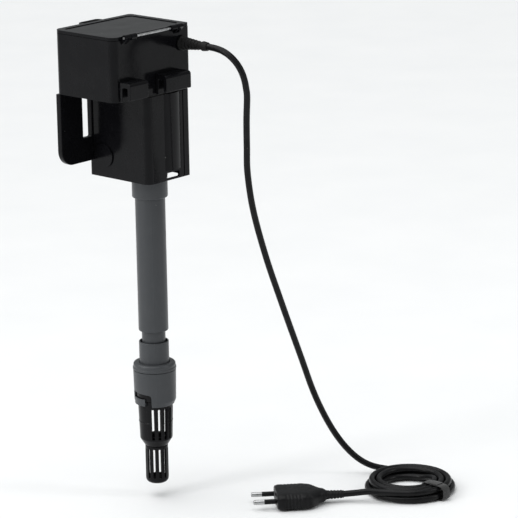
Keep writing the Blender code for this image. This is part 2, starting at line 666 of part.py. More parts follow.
def make_lead(mats):
    cord, rubber = mats["cord"], mats["rubber"]
    gland = [
        (0, -10.0),
        (6.2, -10.0),
        (6.2, -8.3),
        (4.6, -8.3),
        (4.6, -5.7),
        (6.2, -5.7),
        (6.2, -3.9),
        (4.9, -3.2),
        (3.4, -GLAND_TIP),
        (0, -GLAND_TIP),
    ]
    turned("cord_gland", gland, rubber, 24, GLAND_X, GLAND_Z, closed=False, turn="-Y")
    inside = [
        (10.0, 52.0, -30.0),
        (10.0, 52.0, -18.0),
        (10.2, 51.6, -5.0),
        (11.0, 48.5, 7.0),
        (12.8, 40.0, 17.0),
        (15.0, 28.0, 22.4),
        (16.6, 18.0, 23.8),
        (17.0, 10.4, 24.0),
    ]
    tube("motor_lead", smooth(inside, 9.0), CORD_R, cord)

    low_turn, high_turn = COIL_BASE + CORD_R, COIL_BASE + 3 * CORD_R
    start = on_coil(ENTRY_DEG, COIL_OUTER, low_turn)
    inward = heading(ENTRY_DEG - 90)
    lead_in = start - inward * 22.0
    route = [Vector(p) for p in CORD_ROUTE]
    route += [lead_in - inward * 5 + Vector((0, 0, 0.3)), lead_in - inward * 1.0]
    tube("power_cord", smooth(route, 12.0), CORD_R, cord)

    wall = CORD_R + 0.3
    section = [
        (COIL_OUTER + wall, COIL_BASE + 4 * CORD_R + 0.3),
        (COIL_OUTER + wall, COIL_BASE),
        (COIL_INNER - wall, COIL_BASE),
        (COIL_INNER - wall, COIL_BASE + 4 * CORD_R + 0.3),
    ]
    coil = turned("cord_coil", section, cord, 40, COIL_X, COIL_Y)
    leave = on_coil(EXIT_DEG, COIL_LEAVE, high_turn)
    lead_out = leave + heading(EXIT_DEG - 90) * 27.0
    for name, near, far in (("coil_entry", lead_in, start), ("coil_exit", leave, lead_out)):
        stub = rod(name, CORD_R, 0.0, (far - near).length, segments=12, x=0, y=0)
        stub.rotation_euler = (far - near).to_track_quat("Z", "Y").to_euler()
        stub.location = near * MM
        weld(coil, stub)

    band = [(16.8, TABLE_Z), (40.9, TABLE_Z), (40.9, -337.2), (16.8, -337.2)]
    tie = prism("coil_tie", band, -4.0, 4.0, mats["tie"], along="Y")
    window = [(17.6, TABLE_Z + 0.7), (40.1, TABLE_Z + 0.7), (40.1, -338.0), (17.6, -338.0)]
    hole = prism("tie_window", window, -8.0, 8.0, along="Y")
    for piece in (tie, hole):
        piece.rotation_euler.z = math.radians(268.0)
        piece.location = (COIL_X * MM, COIL_Y * MM, 0)
    cut(tie, hole)

    way = heading(PLUG_HEADING)
    rear = lead_out + heading((EXIT_DEG - 90 + PLUG_HEADING) / 2) * 20.0
    rear.z = PLUG_Z
    away = heading(EXIT_DEG - 90)
    tail = [lead_out + away * GAP, lead_out + away * 4, rear - way * 4, rear]
    tube("cord_tail", smooth(tail, 4.0), CORD_R, cord)
    turn = math.radians(PLUG_HEADING)
    foot = rear + way * GAP
    foot.z = 0
    outline = [
        (14.0, -5.0),
        (17.0, -6.6),
        (29.0, -16.0),
        *arc(31.5, -14.4, 3.2, -120, -90, 2),
        (53.0, -17.6),
        *arc(53.0, -15.6, 2.0, -90, 0, 3),
    ]
    outline += [(x, -y) for x, y in reversed(outline)]
    plug = prism("plug_body", outline, TABLE_Z, TABLE_Z + PLUG_T, mats["plug"])
    relief = rod("plug_relief", 3.4, 0.0, 16.0, segments=16, x=0, y=0)
    relief.rotation_euler = (0, math.pi / 2, 0)
    relief.location = (0, 0, PLUG_Z * MM)
    relief.parent = plug
    weld(plug, relief)
    plug.rotation_euler.z = turn
    plug.location = foot * MM

    for i, y in enumerate((-9.3, 9.3)):
        pin = rod(f"plug_pin_{i + 1}", 2.0, 55.0 + GAP, 74.0, mats["steel"], 16, x=y, y=0, turn="X")
        pin.rotation_euler.z = turn
        pin.location = (foot + Vector((0, 0, PLUG_Z))) * MM


# ---------------------------------------------------------------- build


def main():
    for old in list(bpy.data.objects):
        bpy.data.objects.remove(old)
    mats = {
        "housing": material("housing", (0.016, 0.016, 0.018), 0.28),
        "tube": material("tube", (0.030, 0.032, 0.034), 0.42),
        "strainer": material("strainer", (0.012, 0.012, 0.013), 0.36),
        "potting": material("potting", (0.020, 0.020, 0.022), 0.45),
        "grate": material("grate", (0.05, 0.05, 0.055), 0.5),
        "rubber": material("rubber", (0.018, 0.018, 0.018), 0.7),
        "cord": material("cord", (0.012, 0.012, 0.012), 0.45),
        "plug": material("plug", (0.014, 0.014, 0.015), 0.4),
        "tie": material("tie", (0.02, 0.02, 0.02), 0.8),
        "ceramic": material("ceramic", (0.78, 0.77, 0.73), 0.3),
        "magnet": material("magnet", (0.08, 0.08, 0.085), 0.5, 0.6),
        "copper": material("copper", (0.62, 0.29, 0.14), 0.35, 1.0),
        "steel": material("steel", (0.55, 0.56, 0.57), 0.3, 1.0),
        "sponge": material("sponge", (0.03, 0.09, 0.20), 0.95),
        "carbon": material("carbon", (0.60, 0.60, 0.58), 0.9),
    }
    make_case(mats["housing"], mats["steel"])
    make_hooks(mats["housing"], mats["steel"])
    make_media(mats)
    make_chamber(mats["housing"], mats["rubber"], mats["steel"])
    make_guard(mats["housing"])
    make_pump(mats)
    make_tube(mats)
    make_lead(mats)


main()
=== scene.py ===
"""Looks of an internal hang-on filter pump for a small aquarium.

The fine meshes, materials, lead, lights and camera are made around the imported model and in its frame. Sizes
are in millimetres, where nothing else is said, and the meshes in metres. The pump hangs by its hooks at the
origin, +X runs along the pane, +Y points into the tank and +Z is up.
"""

import json
import math

import bmesh
import bpy
from mathutils import Matrix, Vector, noise


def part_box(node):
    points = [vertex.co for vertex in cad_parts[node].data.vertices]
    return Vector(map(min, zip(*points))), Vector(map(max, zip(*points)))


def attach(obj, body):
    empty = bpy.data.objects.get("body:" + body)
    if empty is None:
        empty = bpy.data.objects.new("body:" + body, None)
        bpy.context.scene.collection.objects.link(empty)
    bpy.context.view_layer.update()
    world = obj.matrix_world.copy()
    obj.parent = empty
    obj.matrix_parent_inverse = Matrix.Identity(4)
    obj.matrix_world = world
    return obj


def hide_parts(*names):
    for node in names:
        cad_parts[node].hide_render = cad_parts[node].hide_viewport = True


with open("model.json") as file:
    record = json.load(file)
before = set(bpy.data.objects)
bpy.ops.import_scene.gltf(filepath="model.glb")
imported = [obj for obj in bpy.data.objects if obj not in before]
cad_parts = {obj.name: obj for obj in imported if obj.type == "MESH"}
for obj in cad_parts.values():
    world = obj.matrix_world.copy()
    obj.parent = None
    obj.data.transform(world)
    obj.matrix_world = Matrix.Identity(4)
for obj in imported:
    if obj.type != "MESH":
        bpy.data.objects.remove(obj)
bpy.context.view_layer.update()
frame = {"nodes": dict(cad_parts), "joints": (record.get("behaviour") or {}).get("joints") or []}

MM = 0.001


def show(obj):
    bpy.context.scene.collection.objects.link(obj)


def low(node):
    """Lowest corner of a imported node, in millimetres."""
    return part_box(node)[0] / MM


def high(node):
    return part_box(node)[1] / MM


def joint_at(name):
    """A joint's point, in millimetres."""
    return Vector(next(j["pos_m"] for j in frame["joints"] if j["name"] == name)) / MM


# Filter case
CASE_LEFT, CASE_FLOOR = low("filter_case").x, low("filter_case").z
CASE_RIGHT, FRONT = high("filter_case").x, high("filter_case").y
HINGE_Y, HINGE_Z = joint_at("lid_hinge").yz
REAR = 6.0
CASE_TOP = 36.0
WALL = 2.0
EDGE_R, SMALL_R = 6.0, 3.0
CASE_RADII = (EDGE_R, SMALL_R, SMALL_R, EDGE_R)
GAP = 0.3
LID_T = 2.5
KNUCKLE, KNUCKLE_R = 6.0, 2.4  # length and radius of a hinge knuckle
PIN_BORE_R = 1.35
HOOK_SCREWS = [(-9.5, -5.0), (9.5, -5.0), (-50.0, -5.0), (-38.0, -5.0)]  # X, Z
CASE_SCREWS = [(-19.6, 10.9), (19.8, 11.0)]  # X, Y
RISER_AT = (-13.0, 15.0)  # X, Y

# Pump chamber and suction tube
CHAMBER_LEFT = high("splash_guard").x + 0.4
CHAMBER_RIGHT = high("pump_chamber").x
CHAMBER_FLOOR, CHAMBER_TOP = low("pump_chamber").z, high("pump_chamber").z
AXIS = (low("main_tube") + high("main_tube")) / 2
AXIS_X, AXIS_Y = AXIS.x, AXIS.y
TUBE_R = (high("main_tube").x - low("main_tube").x) / 2
TUBE_TOP, TUBE_END = high("main_tube").z, low("main_tube").z
SLEEVE_TOP = high("strainer_sleeve").z
COLLAR_R = (high("collar_ring").x - low("collar_ring").x) / 2
COLLAR_TOP, COLLAR_END = high("collar_cap").z, low("collar_ring").z
CAGE_END, TIP_END = low("strainer_cage").z, low("strainer_tip").z
SEAMS = (48.0, 228.0)  # azimuths of the mould seams, degrees
NOTCH_START, NOTCH_END = 139.0, 213.0  # azimuths of the lock ring's notch
NOTCH_HIGH, NOTCH_LOW = -258.8, -260.5  # its sloping top edge, at the start and at the end
NOTCH_R = 2.5  # its upper corners
LUG_START, LUG_END = 141.5, 193.0  # azimuths of the strainer's lug in that notch
LUG_FACE = 14.6  # the lug is grey beyond this radius
DRUM_TOP, DRUM_R, DRUM_BORE_R = -240.7, 15.2, 13.4  # the sleeve is wider below this
CAGE_PLACES, BEHIND_LUG = 16, (6, 7, 8)  # equal places round the cage, and those with no slot
TIP_SLOTS = 12

# Mains lead
TABLE_Z = low("coil_tie").z
CORD_R = 2.6
GLAND_X = (low("cord_gland").x + high("cord_gland").x) / 2
GLAND_Z = (low("cord_gland").z + high("cord_gland").z) / 2
GLAND_TIP = low("cord_gland").y
COIL_X, COIL_Y = 138.0, -122.0
COIL_OUTER, COIL_INNER, COIL_LEAVE = 36.8, 21.2, 34.2
TURNS_IN, TURNS_OUT = 3, 2.25
TURN_STEPS = 40  # points in a turn
LOW_TURN = TABLE_Z + 1.0 + CORD_R
HIGH_TURN = LOW_TURN + 2 * CORD_R
ENTRY_DEG, EXIT_DEG = 30.0, 210.0
TIE_DEG = 268.0
PLUG_Z = (low("plug_body").z + high("plug_body").z) / 2
PLUG_HEADING = 137.9

# The lead's route from the gland to the coil. Points 2 to 9 were computed outside this file, as 7.2 mm chords
# in Y and Z at given slopes, with X given one by one. The other points were typed in.
CORD_ROUTE = [
    (17.0, -22.9, 24.0),
    (17.0, -30.1, 23.6),
    (17.3, -37.2, 22.2),
    (18.1, -43.6, 19.1),
    (19.4, -48.9, 14.2),
    (21.0, -52.5, 7.9),
    (22.6, -54.2, 1.0),
    (24.1, -54.5, -6.2),
    (25.3, -54.2, -13.4),
    (27.8, -51.0, -32.0),
    (29.8, -49.0, -54.0),
    (32.0, -47.3, -76.0),
    (38.0, -47.2, -107.0),
    (51.0, -48.0, -147.0),
    (68.0, -49.0, -189.0),
    (89.0, -50.5, -239.0),
    (103.0, -51.5, -272.0),
    (117.0, -53.5, -299.0),
    (129.0, -58.0, -319.5),
    (140.0, -65.0, -334.5),
    (149.5, -74.3, -342.8),
]


# Camera
CAMERA_AT = (-1.6079, -1.5304, 0.4498)  # metres
CAMERA_TARGET = (0.064, -0.029, -0.155)  # metres
CAMERA_LENS = 202.0
CAMERA_ROLL = -0.97  # degrees


# ---------------------------------------------------------------- materials


def new_material(name, colour, roughness, metallic=0.0, **sockets):
    """A Principled material and its node tree. Sockets are set by name, with _ for a space."""
    made = bpy.data.materials.new(name)
    made.use_nodes = True
    shader = made.node_tree.nodes["Principled BSDF"]
    shader.inputs["Base Color"].default_value = (*colour, 1.0)
    shader.inputs["Roughness"].default_value = roughness
    shader.inputs["Metallic"].default_value = metallic
    for key, value in sockets.items():
        shader.inputs[key.replace("_", " ")].default_value = value
    return made, made.node_tree, shader


def node(tree, kind, sockets, output=0, **settings):
    """Adds a shader node, links or sets its sockets and returns one output."""
    made = tree.nodes.new("ShaderNode" + kind)
    for key, value in settings.items():
        setattr(made, key, value)
    for key, value in sockets.items():
        if isinstance(value, bpy.types.NodeSocket):
            tree.links.new(value, made.inputs[key])
        else:
            made.inputs[key].default_value = value
    return made.outputs[output]


def feed(shader, socket, value):
    shader.id_data.links.new(value, shader.inputs[socket])


def grain(tree, size, detail=2.0, stretch=(1, 1, 1), rough=0.5):
    """Noise in the piece's own space with features about size millimetres across."""
    place = node(tree, "TexCoord", {}, "Object")
    if stretch != (1, 1, 1):
        place = node(tree, "Mapping", {"Vector": place, "Scale": stretch})
    sockets = {"Vector": place, "Scale": 1 / (size * MM), "Detail": detail, "Roughness": rough}
    return node(tree, "TexNoise", sockets)


def remap(tree, value, start, end, to_start, to_end):
    keys = ("Value", "From Min", "From Max", "To Min", "To Max")
    return node(tree, "MapRange", dict(zip(keys, (value, start, end, to_start, to_end))))


def blend_colours(tree, share, first, second):
    """Mixes two colours, each a triple or a socket."""
    first, second = ((*c, 1.0) if isinstance(c, tuple) else c for c in (first, second))
    return node(tree, "Mix", {0: share, 6: first, 7: second}, 2, data_type="RGBA")


def maths(tree, operation, first, second):
    return node(tree, "Math", {0: first, 1: second}, operation=operation)


def dust(tree, spacing, share, size):
    """A mask of small specks: cells spacing millimetres apart, of which a share hold one."""
    place = node(tree, "TexCoord", {}, "Object")
    sockets = {"Vector": place, "Scale": 1 / (spacing * MM), "Randomness": 1.0}
    distance = node(tree, "TexVoronoi", sockets, "Distance")
    reach = size / spacing
    spot = remap(tree, distance, reach * 0.6, reach, 1.0, 0.0)
    pick = node(tree, "SeparateColor", {"Color": distance.node.outputs["Color"]})
    chosen = maths(tree, "LESS_THAN", pick, share)
    return maths(tree, "MULTIPLY", spot, chosen)


def bump(tree, shader, *layers):
    """Stacks bump layers of (height socket, depth in millimetres) on a shader."""
    normal = None
    for height, depth in layers:
        sockets = {"Height": height, "Strength": 1.0, "Distance": depth * MM}
        if normal:
            sockets["Normal"] = normal
        normal = node(tree, "Bump", sockets)
    feed(shader, "Normal", normal)


def moulded(name, colour, bloom, roughness, spread=0.1, texture=0.012, film=0.25, specks=0.05, gloss=0.25):
    """Moulded plastic: cloudy colour, handling film, fine scratches, spark texture, sink waves and dust."""
    made, tree, shader = new_material(name, colour, roughness, Specular_IOR_Level=gloss)
    clouds = grain(tree, 14.0, 4.0)
    streaks = grain(tree, 3.0, 3.0, (1, 1, 0.4))
    haze = remap(tree, clouds, 0.42, 0.72, 0.0, 1.0)
    broken = remap(tree, streaks, 0.3, 0.7, 0.4, 1.0)
    share = maths(tree, "MULTIPLY", haze, broken)
    tinted = blend_colours(tree, maths(tree, "MULTIPLY", share, film), colour, bloom)
    spot = dust(tree, 5.0, specks, 0.22)
    feed(shader, "Base Color", blend_colours(tree, spot, tinted, (0.42, 0.42, 0.40)))
    scratch = grain(tree, 0.7, 2.0, (1.0, 1.0, 0.04))
    rough = remap(tree, clouds, 0.3, 0.7, roughness - spread * 0.5, roughness + spread * 0.5)
    rough = maths(tree, "ADD", rough, remap(tree, scratch, 0.62, 0.75, 0.0, spread))
    rough = maths(tree, "MAXIMUM", rough, maths(tree, "MULTIPLY", spot, 0.9))
    feed(shader, "Roughness", rough)
    waves = grain(tree, 22.0, 1.0)
    spark = grain(tree, 0.28, 2.0)
    bump(tree, shader, (waves, 0.25), (scratch, 0.012), (spark, texture))
    return made


def rubbery(name, colour, roughness, pitch=0.5, depth=0.03):
    """Soft plastic or rubber with a matt bloom."""
    made, tree, shader = new_material(name, colour, roughness, Specular_IOR_Level=0.14)
    clouds = grain(tree, 9.0, 4.0)
    bloom = tuple(c * 1.7 + 0.002 for c in colour)
    tinted = blend_colours(tree, remap(tree, clouds, 0.38, 0.7, 0.0, 0.7), colour, bloom)
    spot = dust(tree, 4.0, 0.08, 0.2)
    feed(shader, "Base Color", blend_colours(tree, spot, tinted, (0.35, 0.34, 0.32)))
    rough = remap(tree, grain(tree, 2.4, 3.0), 0.3, 0.7, roughness - 0.08, roughness + 0.08)
    feed(shader, "Roughness", rough)
    bump(tree, shader, (grain(tree, 6.0, 1.0), 0.1), (grain(tree, pitch, 2.0), depth))
    return made


def metal(name, colour, roughness, stretch=(1, 1, 1), size=0.6, tarnish=(0.25, 0.24, 0.22)):
    """Bare metal with fine tool marks and dull patches."""
    made, tree, shader = new_material(name, colour, roughness, 1.0)
    marks = grain(tree, size, 3.0, stretch)
    patches = remap(tree, grain(tree, 5.0, 4.0), 0.5, 0.75, 0.0, 0.5)
    feed(shader, "Base Color", blend_colours(tree, patches, colour, tarnish))
    rough = remap(tree, marks, 0.3, 0.7, roughness - 0.08, roughness + 0.14)
    feed(shader, "Roughness", rough)
    bump(tree, shader, (marks, 0.02))
    return made


def woven(name, colour):
    """Nylon strap: crossing threads on the strip's own lengths, in metres, with a painted highlight on their
    crests.
    """
    made, tree, shader = new_material(name, colour, 0.75, Sheen_Weight=0.3, Sheen_Roughness=0.4)
    place = node(tree, "UVMap", {}, uv_map="lengths")
    threads = []
    for way in ("X", "Y"):
        sockets = {"Vector": place, "Scale": 0.32 / MM, "Distortion": 0.6, "Detail": 1.0, "Detail Scale": 2.0}
        threads.append(node(tree, "TexWave", sockets, "Fac", bands_direction=way))
    weave = maths(tree, "MAXIMUM", *threads)
    # painted highlight: the threads' crests, where the bumps raise them, are painted 2.6 times lighter than
    # the strap
    painted_crest_highlight = tuple(c * 2.6 for c in colour)
    feed(shader, "Base Color", blend_colours(tree, weave, colour, painted_crest_highlight))
    feed(shader, "Roughness", remap(tree, weave, 0.0, 1.0, 0.9, 0.62))
    bump(tree, shader, (weave, 0.12), (grain(tree, 0.15, 2.0), 0.03))
    return made


def porous(name, colour, deep, size, depth, roughness=0.95):
    """Open foam or fleece: pale fibres, with painted shade in the pores between them, in the deep colour."""
    made, tree, shader = new_material(name, colour, roughness, Sheen_Weight=0.25, Sheen_Roughness=0.6)
    pores = grain(tree, size, 4.0, rough=0.65)
    clouds = remap(tree, grain(tree, 16.0, 3.0), 0.35, 0.7, 0.0, 0.5)
    body = blend_colours(tree, clouds, colour, tuple(c * 0.7 for c in colour))
    # the pores take the deep colour: painted shade in the hollows, where the bumps sink
    feed(shader, "Base Color", blend_colours(tree, remap(tree, pores, 0.34, 0.56, 1.0, 0.0), body, deep))
    feed(shader, "Roughness", remap(tree, pores, 0.3, 0.7, 1.0, roughness - 0.15))
    bump(tree, shader, (pores, depth), (grain(tree, size * 0.3, 2.0), depth * 0.4))
    return made


def wound(name, colour, pitch):
    """Enamelled wire wound in rows around the coil former, with painted shade in the grooves between the
    rows.
    """
    made, tree, shader = new_material(name, colour, 0.3, 0.9, Coat_Weight=0.6, Coat_Roughness=0.15)
    place = node(tree, "TexCoord", {}, "Object")
    sockets = {"Vector": place, "Scale": 0.314 / (pitch * MM), "Distortion": 0.15, "Detail": 1.0}
    rows = node(tree, "TexWave", sockets, "Fac", bands_direction="X")
    # dark is painted shade: the copper at a quarter of its brightness, in the grooves between the rows of
    # wire
    dark = tuple(c * 0.25 for c in colour)
    feed(shader, "Base Color", blend_colours(tree, rows, dark, colour))
    feed(shader, "Roughness", remap(tree, grain(tree, 2.0, 3.0), 0.3, 0.7, 0.22, 0.42))
    bump(tree, shader, (rows, 0.2))
    return made


def stacked(name, colour, pitch):
    """Stator steel: thin sheets stacked upright, with dark gaps and rust tints."""
    made, tree, shader = new_material(name, colour, 0.4, 1.0)
    place = node(tree, "TexCoord", {}, "Object")
    sockets = {"Vector": place, "Scale": 0.314 / (pitch * MM), "Distortion": 0.05}
    sheets = node(tree, "TexWave", sockets, "Fac", bands_direction="Z")
    rust = remap(tree, grain(tree, 4.0, 5.0), 0.55, 0.75, 0.0, 0.6)
    worn = blend_colours(tree, rust, colour, (0.16, 0.10, 0.07))
    feed(shader, "Base Color", blend_colours(tree, sheets, (0.05, 0.05, 0.05), worn))
    feed(shader, "Roughness", remap(tree, rust, 0.0, 0.6, 0.34, 0.7))
    bump(tree, shader, (sheets, 0.08))
    return made


def table_top():
    made, tree, shader = new_material("table_top", (0.80, 0.81, 0.81), 0.6)
    tone = blend_colours(tree, grain(tree, 90.0, 3.0), (0.78, 0.79, 0.795), (0.83, 0.835, 0.835))
    feed(shader, "Base Color", tone)
    feed(shader, "Roughness", remap(tree, grain(tree, 1.2, 2.0), 0.3, 0.7, 0.5, 0.66))
    return made


def make_materials():
    return {
        "housing": moulded(
            "housing_gloss", (0.0040, 0.0040, 0.0048), (0.011, 0.011, 0.012), 0.13, 0.06, gloss=0.11
        ),
        "tube": moulded(
            "tube_satin", (0.048, 0.051, 0.055), (0.070, 0.073, 0.077), 0.34, texture=0.02, specks=0.08
        ),
        "strainer": moulded(
            "strainer_black", (0.0045, 0.0045, 0.0052), (0.012, 0.012, 0.013), 0.24, gloss=0.12
        ),
        "dark": moulded("grate_grey", (0.030, 0.030, 0.034), (0.05, 0.05, 0.052), 0.5, texture=0.03),
        "potting": moulded(
            "potting_resin", (0.014, 0.014, 0.016), (0.03, 0.03, 0.031), 0.3, film=0.5, gloss=0.5
        ),
        "rubber": rubbery("black_rubber", (0.009, 0.009, 0.009), 0.62),
        "cord": rubbery("cord_sheath", (0.0045, 0.0045, 0.0049), 0.34, 0.9, 0.015),
        "plug": rubbery("plug_vinyl", (0.0050, 0.0050, 0.0055), 0.40, 0.35, 0.015),
        "tie": woven("tie_strap", (0.006, 0.006, 0.006)),
        "ceramic": moulded("white_ceramic", (0.74, 0.73, 0.69), (0.60, 0.58, 0.52), 0.28, texture=0.006),
        "magnet": metal("ferrite", (0.09, 0.09, 0.095), 0.5, size=0.8, tarnish=(0.04, 0.04, 0.04)),
        "steel": metal("bright_steel", (0.42, 0.425, 0.43), 0.3, (1, 1, 0.2)),
        "lamination": stacked("stator_sheets", (0.42, 0.41, 0.40), 0.9),
        "copper": wound("copper_wire", (0.62, 0.27, 0.12), 0.7),
        # the second colour of the foam and of the fleece is their painted shade in the pores
        "sponge": porous("blue_foam", (0.030, 0.105, 0.235), (0.004, 0.014, 0.035), 1.9, 0.8),
        "carbon": porous("pale_fleece", (0.62, 0.62, 0.58), (0.30, 0.30, 0.28), 0.5, 0.12, 0.9),
    }


# ---------------------------------------------------------------- outlines


def softened(points, steps=6, ends=True):
    """Points of an outline of (u, v, radius) corners, each rounded to its radius.

    Without ends, the first and the last corner stay sharp, as on an open profile.
    """
    out = []
    count = len(points)
    for i, (u, v, radius) in enumerate(points):
        here = Vector((u, v))
        if not radius or (not ends and i in (0, count - 1)):
            out.append(here)
            continue
        back = Vector(points[i - 1][:2]) - here
        on = Vector(points[(i + 1) % count][:2]) - here
        half = back.angle(on) / 2
        reach = min(radius / math.tan(half), back.length * 0.499, on.length * 0.499)
        start, end = here + back.normalized() * reach, here + on.normalized() * reach
        pull = math.sin(half)
        for k in range(steps + 1):
            t = k / steps
            weights = ((1 - t) ** 2, 2 * t * (1 - t) * pull, t * t)
            total = sum(weights)
            out.append((start * weights[0] + here * weights[1] + end * weights[2]) / total)
    return out


def rectangle(x0, y0, x1, y1, radii, steps=8):
    """A rectangle with its own radius at (x0,y0), (x1,y0), (x1,y1) and (x0,y1), or one radius for all."""
    if not isinstance(radii, tuple):
        radii = (radii,) * 4
    corners = ((x0, y0), (x1, y0), (x1, y1), (x0, y1))
    return softened([(x, y, r) for (x, y), r in zip(corners, radii)], steps)


def arc(cx, cy, radius, start, end, steps):
    """Points on an arc, angles in degrees."""
    out = []
    for i in range(steps + 1):
        a = math.radians(start + (end - start) * i / steps)
        out.append(Vector((cx + radius * math.cos(a), cy + radius * math.sin(a))))
    return out


def heading(degrees):
    return Vector((math.cos(math.radians(degrees)), math.sin(math.radians(degrees)), 0))


# ---------------------------------------------------------------- solids

ALONG = {"Z": lambda u, v, w: (u, v, w), "Y": lambda u, v, w: (u, w, v), "X": lambda u, v, w: (w, u, v)}


def finish_mesh(name, bm, mat=None, sharp=40.0):
    """A smooth-shaded object from a bmesh drawn in millimetres."""
    bmesh.ops.scale(bm, vec=Vector((MM, MM, MM)), verts=bm.verts)
    bmesh.ops.recalc_face_normals(bm, faces=bm.faces)
    mesh = bpy.data.meshes.new(name)
    bm.to_mesh(mesh)
    bm.free()
    if mat:
        mesh.materials.append(mat)
    obj = bpy.data.objects.new(name, mesh)
    show(obj)
    shade(obj, sharp)
    return obj


def shade(obj, sharp=40.0):
    obj.data.shade_smooth()
    obj.data.set_sharp_from_angle(angle=math.radians(sharp))


def push(bm, outline, start, end, place):
    """Adds a closed prism to a bmesh: the outline at two depths, put in space by place."""
    rings = [[bm.verts.new(place(p[0], p[1], w)) for p in outline] for w in (start, end)]
    bm.faces.new(rings[0])
    bm.faces.new(rings[1])
    for i in range(len(outline)):
        j = (i + 1) % len(outline)
        bm.faces.new((rings[0][i], rings[0][j], rings[1][j], rings[1][i]))


def prism(name, outline, start, end, mat=None, along="Z"):
    """An outline pushed along Z (outline in X, Y), Y (in X, Z) or X (in Y, Z)."""
    bm = bmesh.new()
    push(bm, outline, start, end, ALONG[along])
    return finish_mesh(name, bm, mat)


def block(name, lowest, highest, mat=None):
    return prism(name, rectangle(lowest[0], lowest[1], highest[0], highest[1], 0), lowest[2], highest[2], mat)


def turned(
    name, profile, mat=None, segments=96, at=(AXIS_X, AXIS_Y), closed=True, along="Z", seam=0.0, bore=0.0
):
    """A profile of (radius, height) points turned about an axis along Z, -Y or X.

    seam is the height of the two mould seams, on the surfaces wider than bore.
    """
    angles = [2 * math.pi * i / segments for i in range(segments)]
    if seam:
        angles += [math.radians(s + step) for s in SEAMS for step in (-2.2, -1.4, -0.7, 0.0, 0.7, 1.4, 2.2)]
    angles = sorted(set(round(a, 6) for a in angles))

    def swell(angle, radius):
        if not seam or radius < bore:
            return 0.0
        return sum(seam * math.exp(-(((math.degrees(angle) - s) / 0.9) ** 2)) for s in SEAMS)

    bm = bmesh.new()
    rows = []
    for r, z in profile:
        if r < 1e-6:
            rows.append([bm.verts.new((0, 0, z))])
            continue
        row = []
        for a in angles:
            wide = r + swell(a, r)
            row.append(bm.verts.new((wide * math.cos(a), wide * math.sin(a), z)))
        rows.append(row)
    pairs = list(zip(rows, rows[1:]))
    if closed:
        pairs.append((rows[-1], rows[0]))
    for a, b in pairs:
        for i in range(len(angles)):
            j = (i + 1) % len(angles)
            corners = (a[i % len(a)], a[j % len(a)], b[j % len(b)], b[i % len(b)])
            unique = list(dict.fromkeys(corners))
            if len(unique) > 2:
                bm.faces.new(unique)
    ways = {"-Y": ("X", (at[0], 0, at[1])), "X": ("Y", (0, at[0], at[1])), "Z": (None, (at[0], at[1], 0))}
    about, spot = ways[along]
    if about:
        quarter = Matrix.Rotation(math.pi / 2, 3, about)
        bmesh.ops.rotate(bm, verts=bm.verts, cent=(0, 0, 0), matrix=quarter)
    bmesh.ops.translate(bm, verts=bm.verts, vec=spot)
    return finish_mesh(name, bm, mat)


def rod(name, radius, start, end, mat=None, segments=48, **where):
    """A plain cylinder. Along -Y it runs from Y = -start to -end."""
    profile = [(0, end), (radius, end), (radius, start), (0, start)]
    return turned(name, profile, mat, segments, closed=False, **where)


def rods(name, places, radius, start, end, segments=24, along="Z"):
    """Alike rods at several places."""
    alike = (radius, start, end, None, segments)
    return [rod(f"{name}_{i}", *alike, at=at, along=along) for i, at in enumerate(places)]


def skin(name, rings, mat, closed=False, sharp=40.0, lengths=False):
    """A surface over rings of equal count, capped at its ends or closed on itself.

    lengths gives it a UV map that holds the distances along and across the surface, in metres.
    """
    bm = bmesh.new()
    rows = [[bm.verts.new(p) for p in ring] for ring in rings]
    count = len(rings[0])
    uv = bm.loops.layers.uv.new("lengths") if lengths else None
    across = [0.0]
    for i in range(count):
        across.append(across[-1] + (rings[0][(i + 1) % count] - rings[0][i]).length * MM)
    last = len(rows) if closed else len(rows) - 1
    walked = 0.0
    for i in range(last):
        a, b = rows[i], rows[(i + 1) % len(rows)]
        step = (rings[(i + 1) % len(rows)][0] - rings[i][0]).length * MM
        for j in range(count):
            k = (j + 1) % count
            face = bm.faces.new((a[j], a[k], b[k], b[j]))
            if uv:
                corners = ((walked, j), (walked, j + 1), (walked + step, j + 1), (walked + step, j))
                for loop, (u, v) in zip(face.loops, corners):
                    loop[uv].uv = (u, across[v])
        walked += step
    if not closed:
        bm.faces.new(rows[0])
        bm.faces.new(rows[-1])
    return finish_mesh(name, bm, mat, sharp)


def sector(name, section, start, end, steps):
    """A closed section of (radius, height) points swept about the tube's axis between two azimuths.

    section is a function of the azimuth in degrees.
    """
    rings = []
    for i in range(steps + 1):
        degrees = start + (end - start) * i / steps
        out = heading(degrees)
        rings.append([Vector((AXIS_X + out.x * r, AXIS_Y + out.y * r, z)) for r, z in section(degrees)])
    return skin(name, rings, None)


def apply_modifiers(obj):
    graph = bpy.context.evaluated_depsgraph_get()
    old = obj.data
    obj.data = bpy.data.meshes.new_from_object(obj.evaluated_get(graph))
    obj.modifiers.clear()
    bpy.data.meshes.remove(old)


def combine(obj, operation, tools):
    """Joins or cuts an object with tools, applies the result and removes them."""
    for tool in tools:
        step = obj.modifiers.new(tool.name, "BOOLEAN")
        step.operation = operation
        step.solver = "EXACT"
        step.object = tool
    apply_modifiers(obj)
    for tool in tools:
        bpy.data.objects.remove(tool)
    shade(obj)


def cut(obj, *tools):
    combine(obj, "DIFFERENCE", tools)


def weld(obj, *tools):
    combine(obj, "UNION", tools)


def ease(obj, width=0.4, segments=3, angle=42.0):
    """Rounds an object's hard edges, as a mould does, and keeps its flats flat."""
    step = obj.modifiers.new("eased_edges", "BEVEL")
    step.width = width * MM
    step.segments = segments
    step.limit_method = "ANGLE"
    step.angle_limit = math.radians(angle)
    apply_modifiers(obj)
    shade(obj, 32.0)
    flats = obj.modifiers.new("flat_faces", "WEIGHTED_NORMAL")
    flats.keep_sharp = True


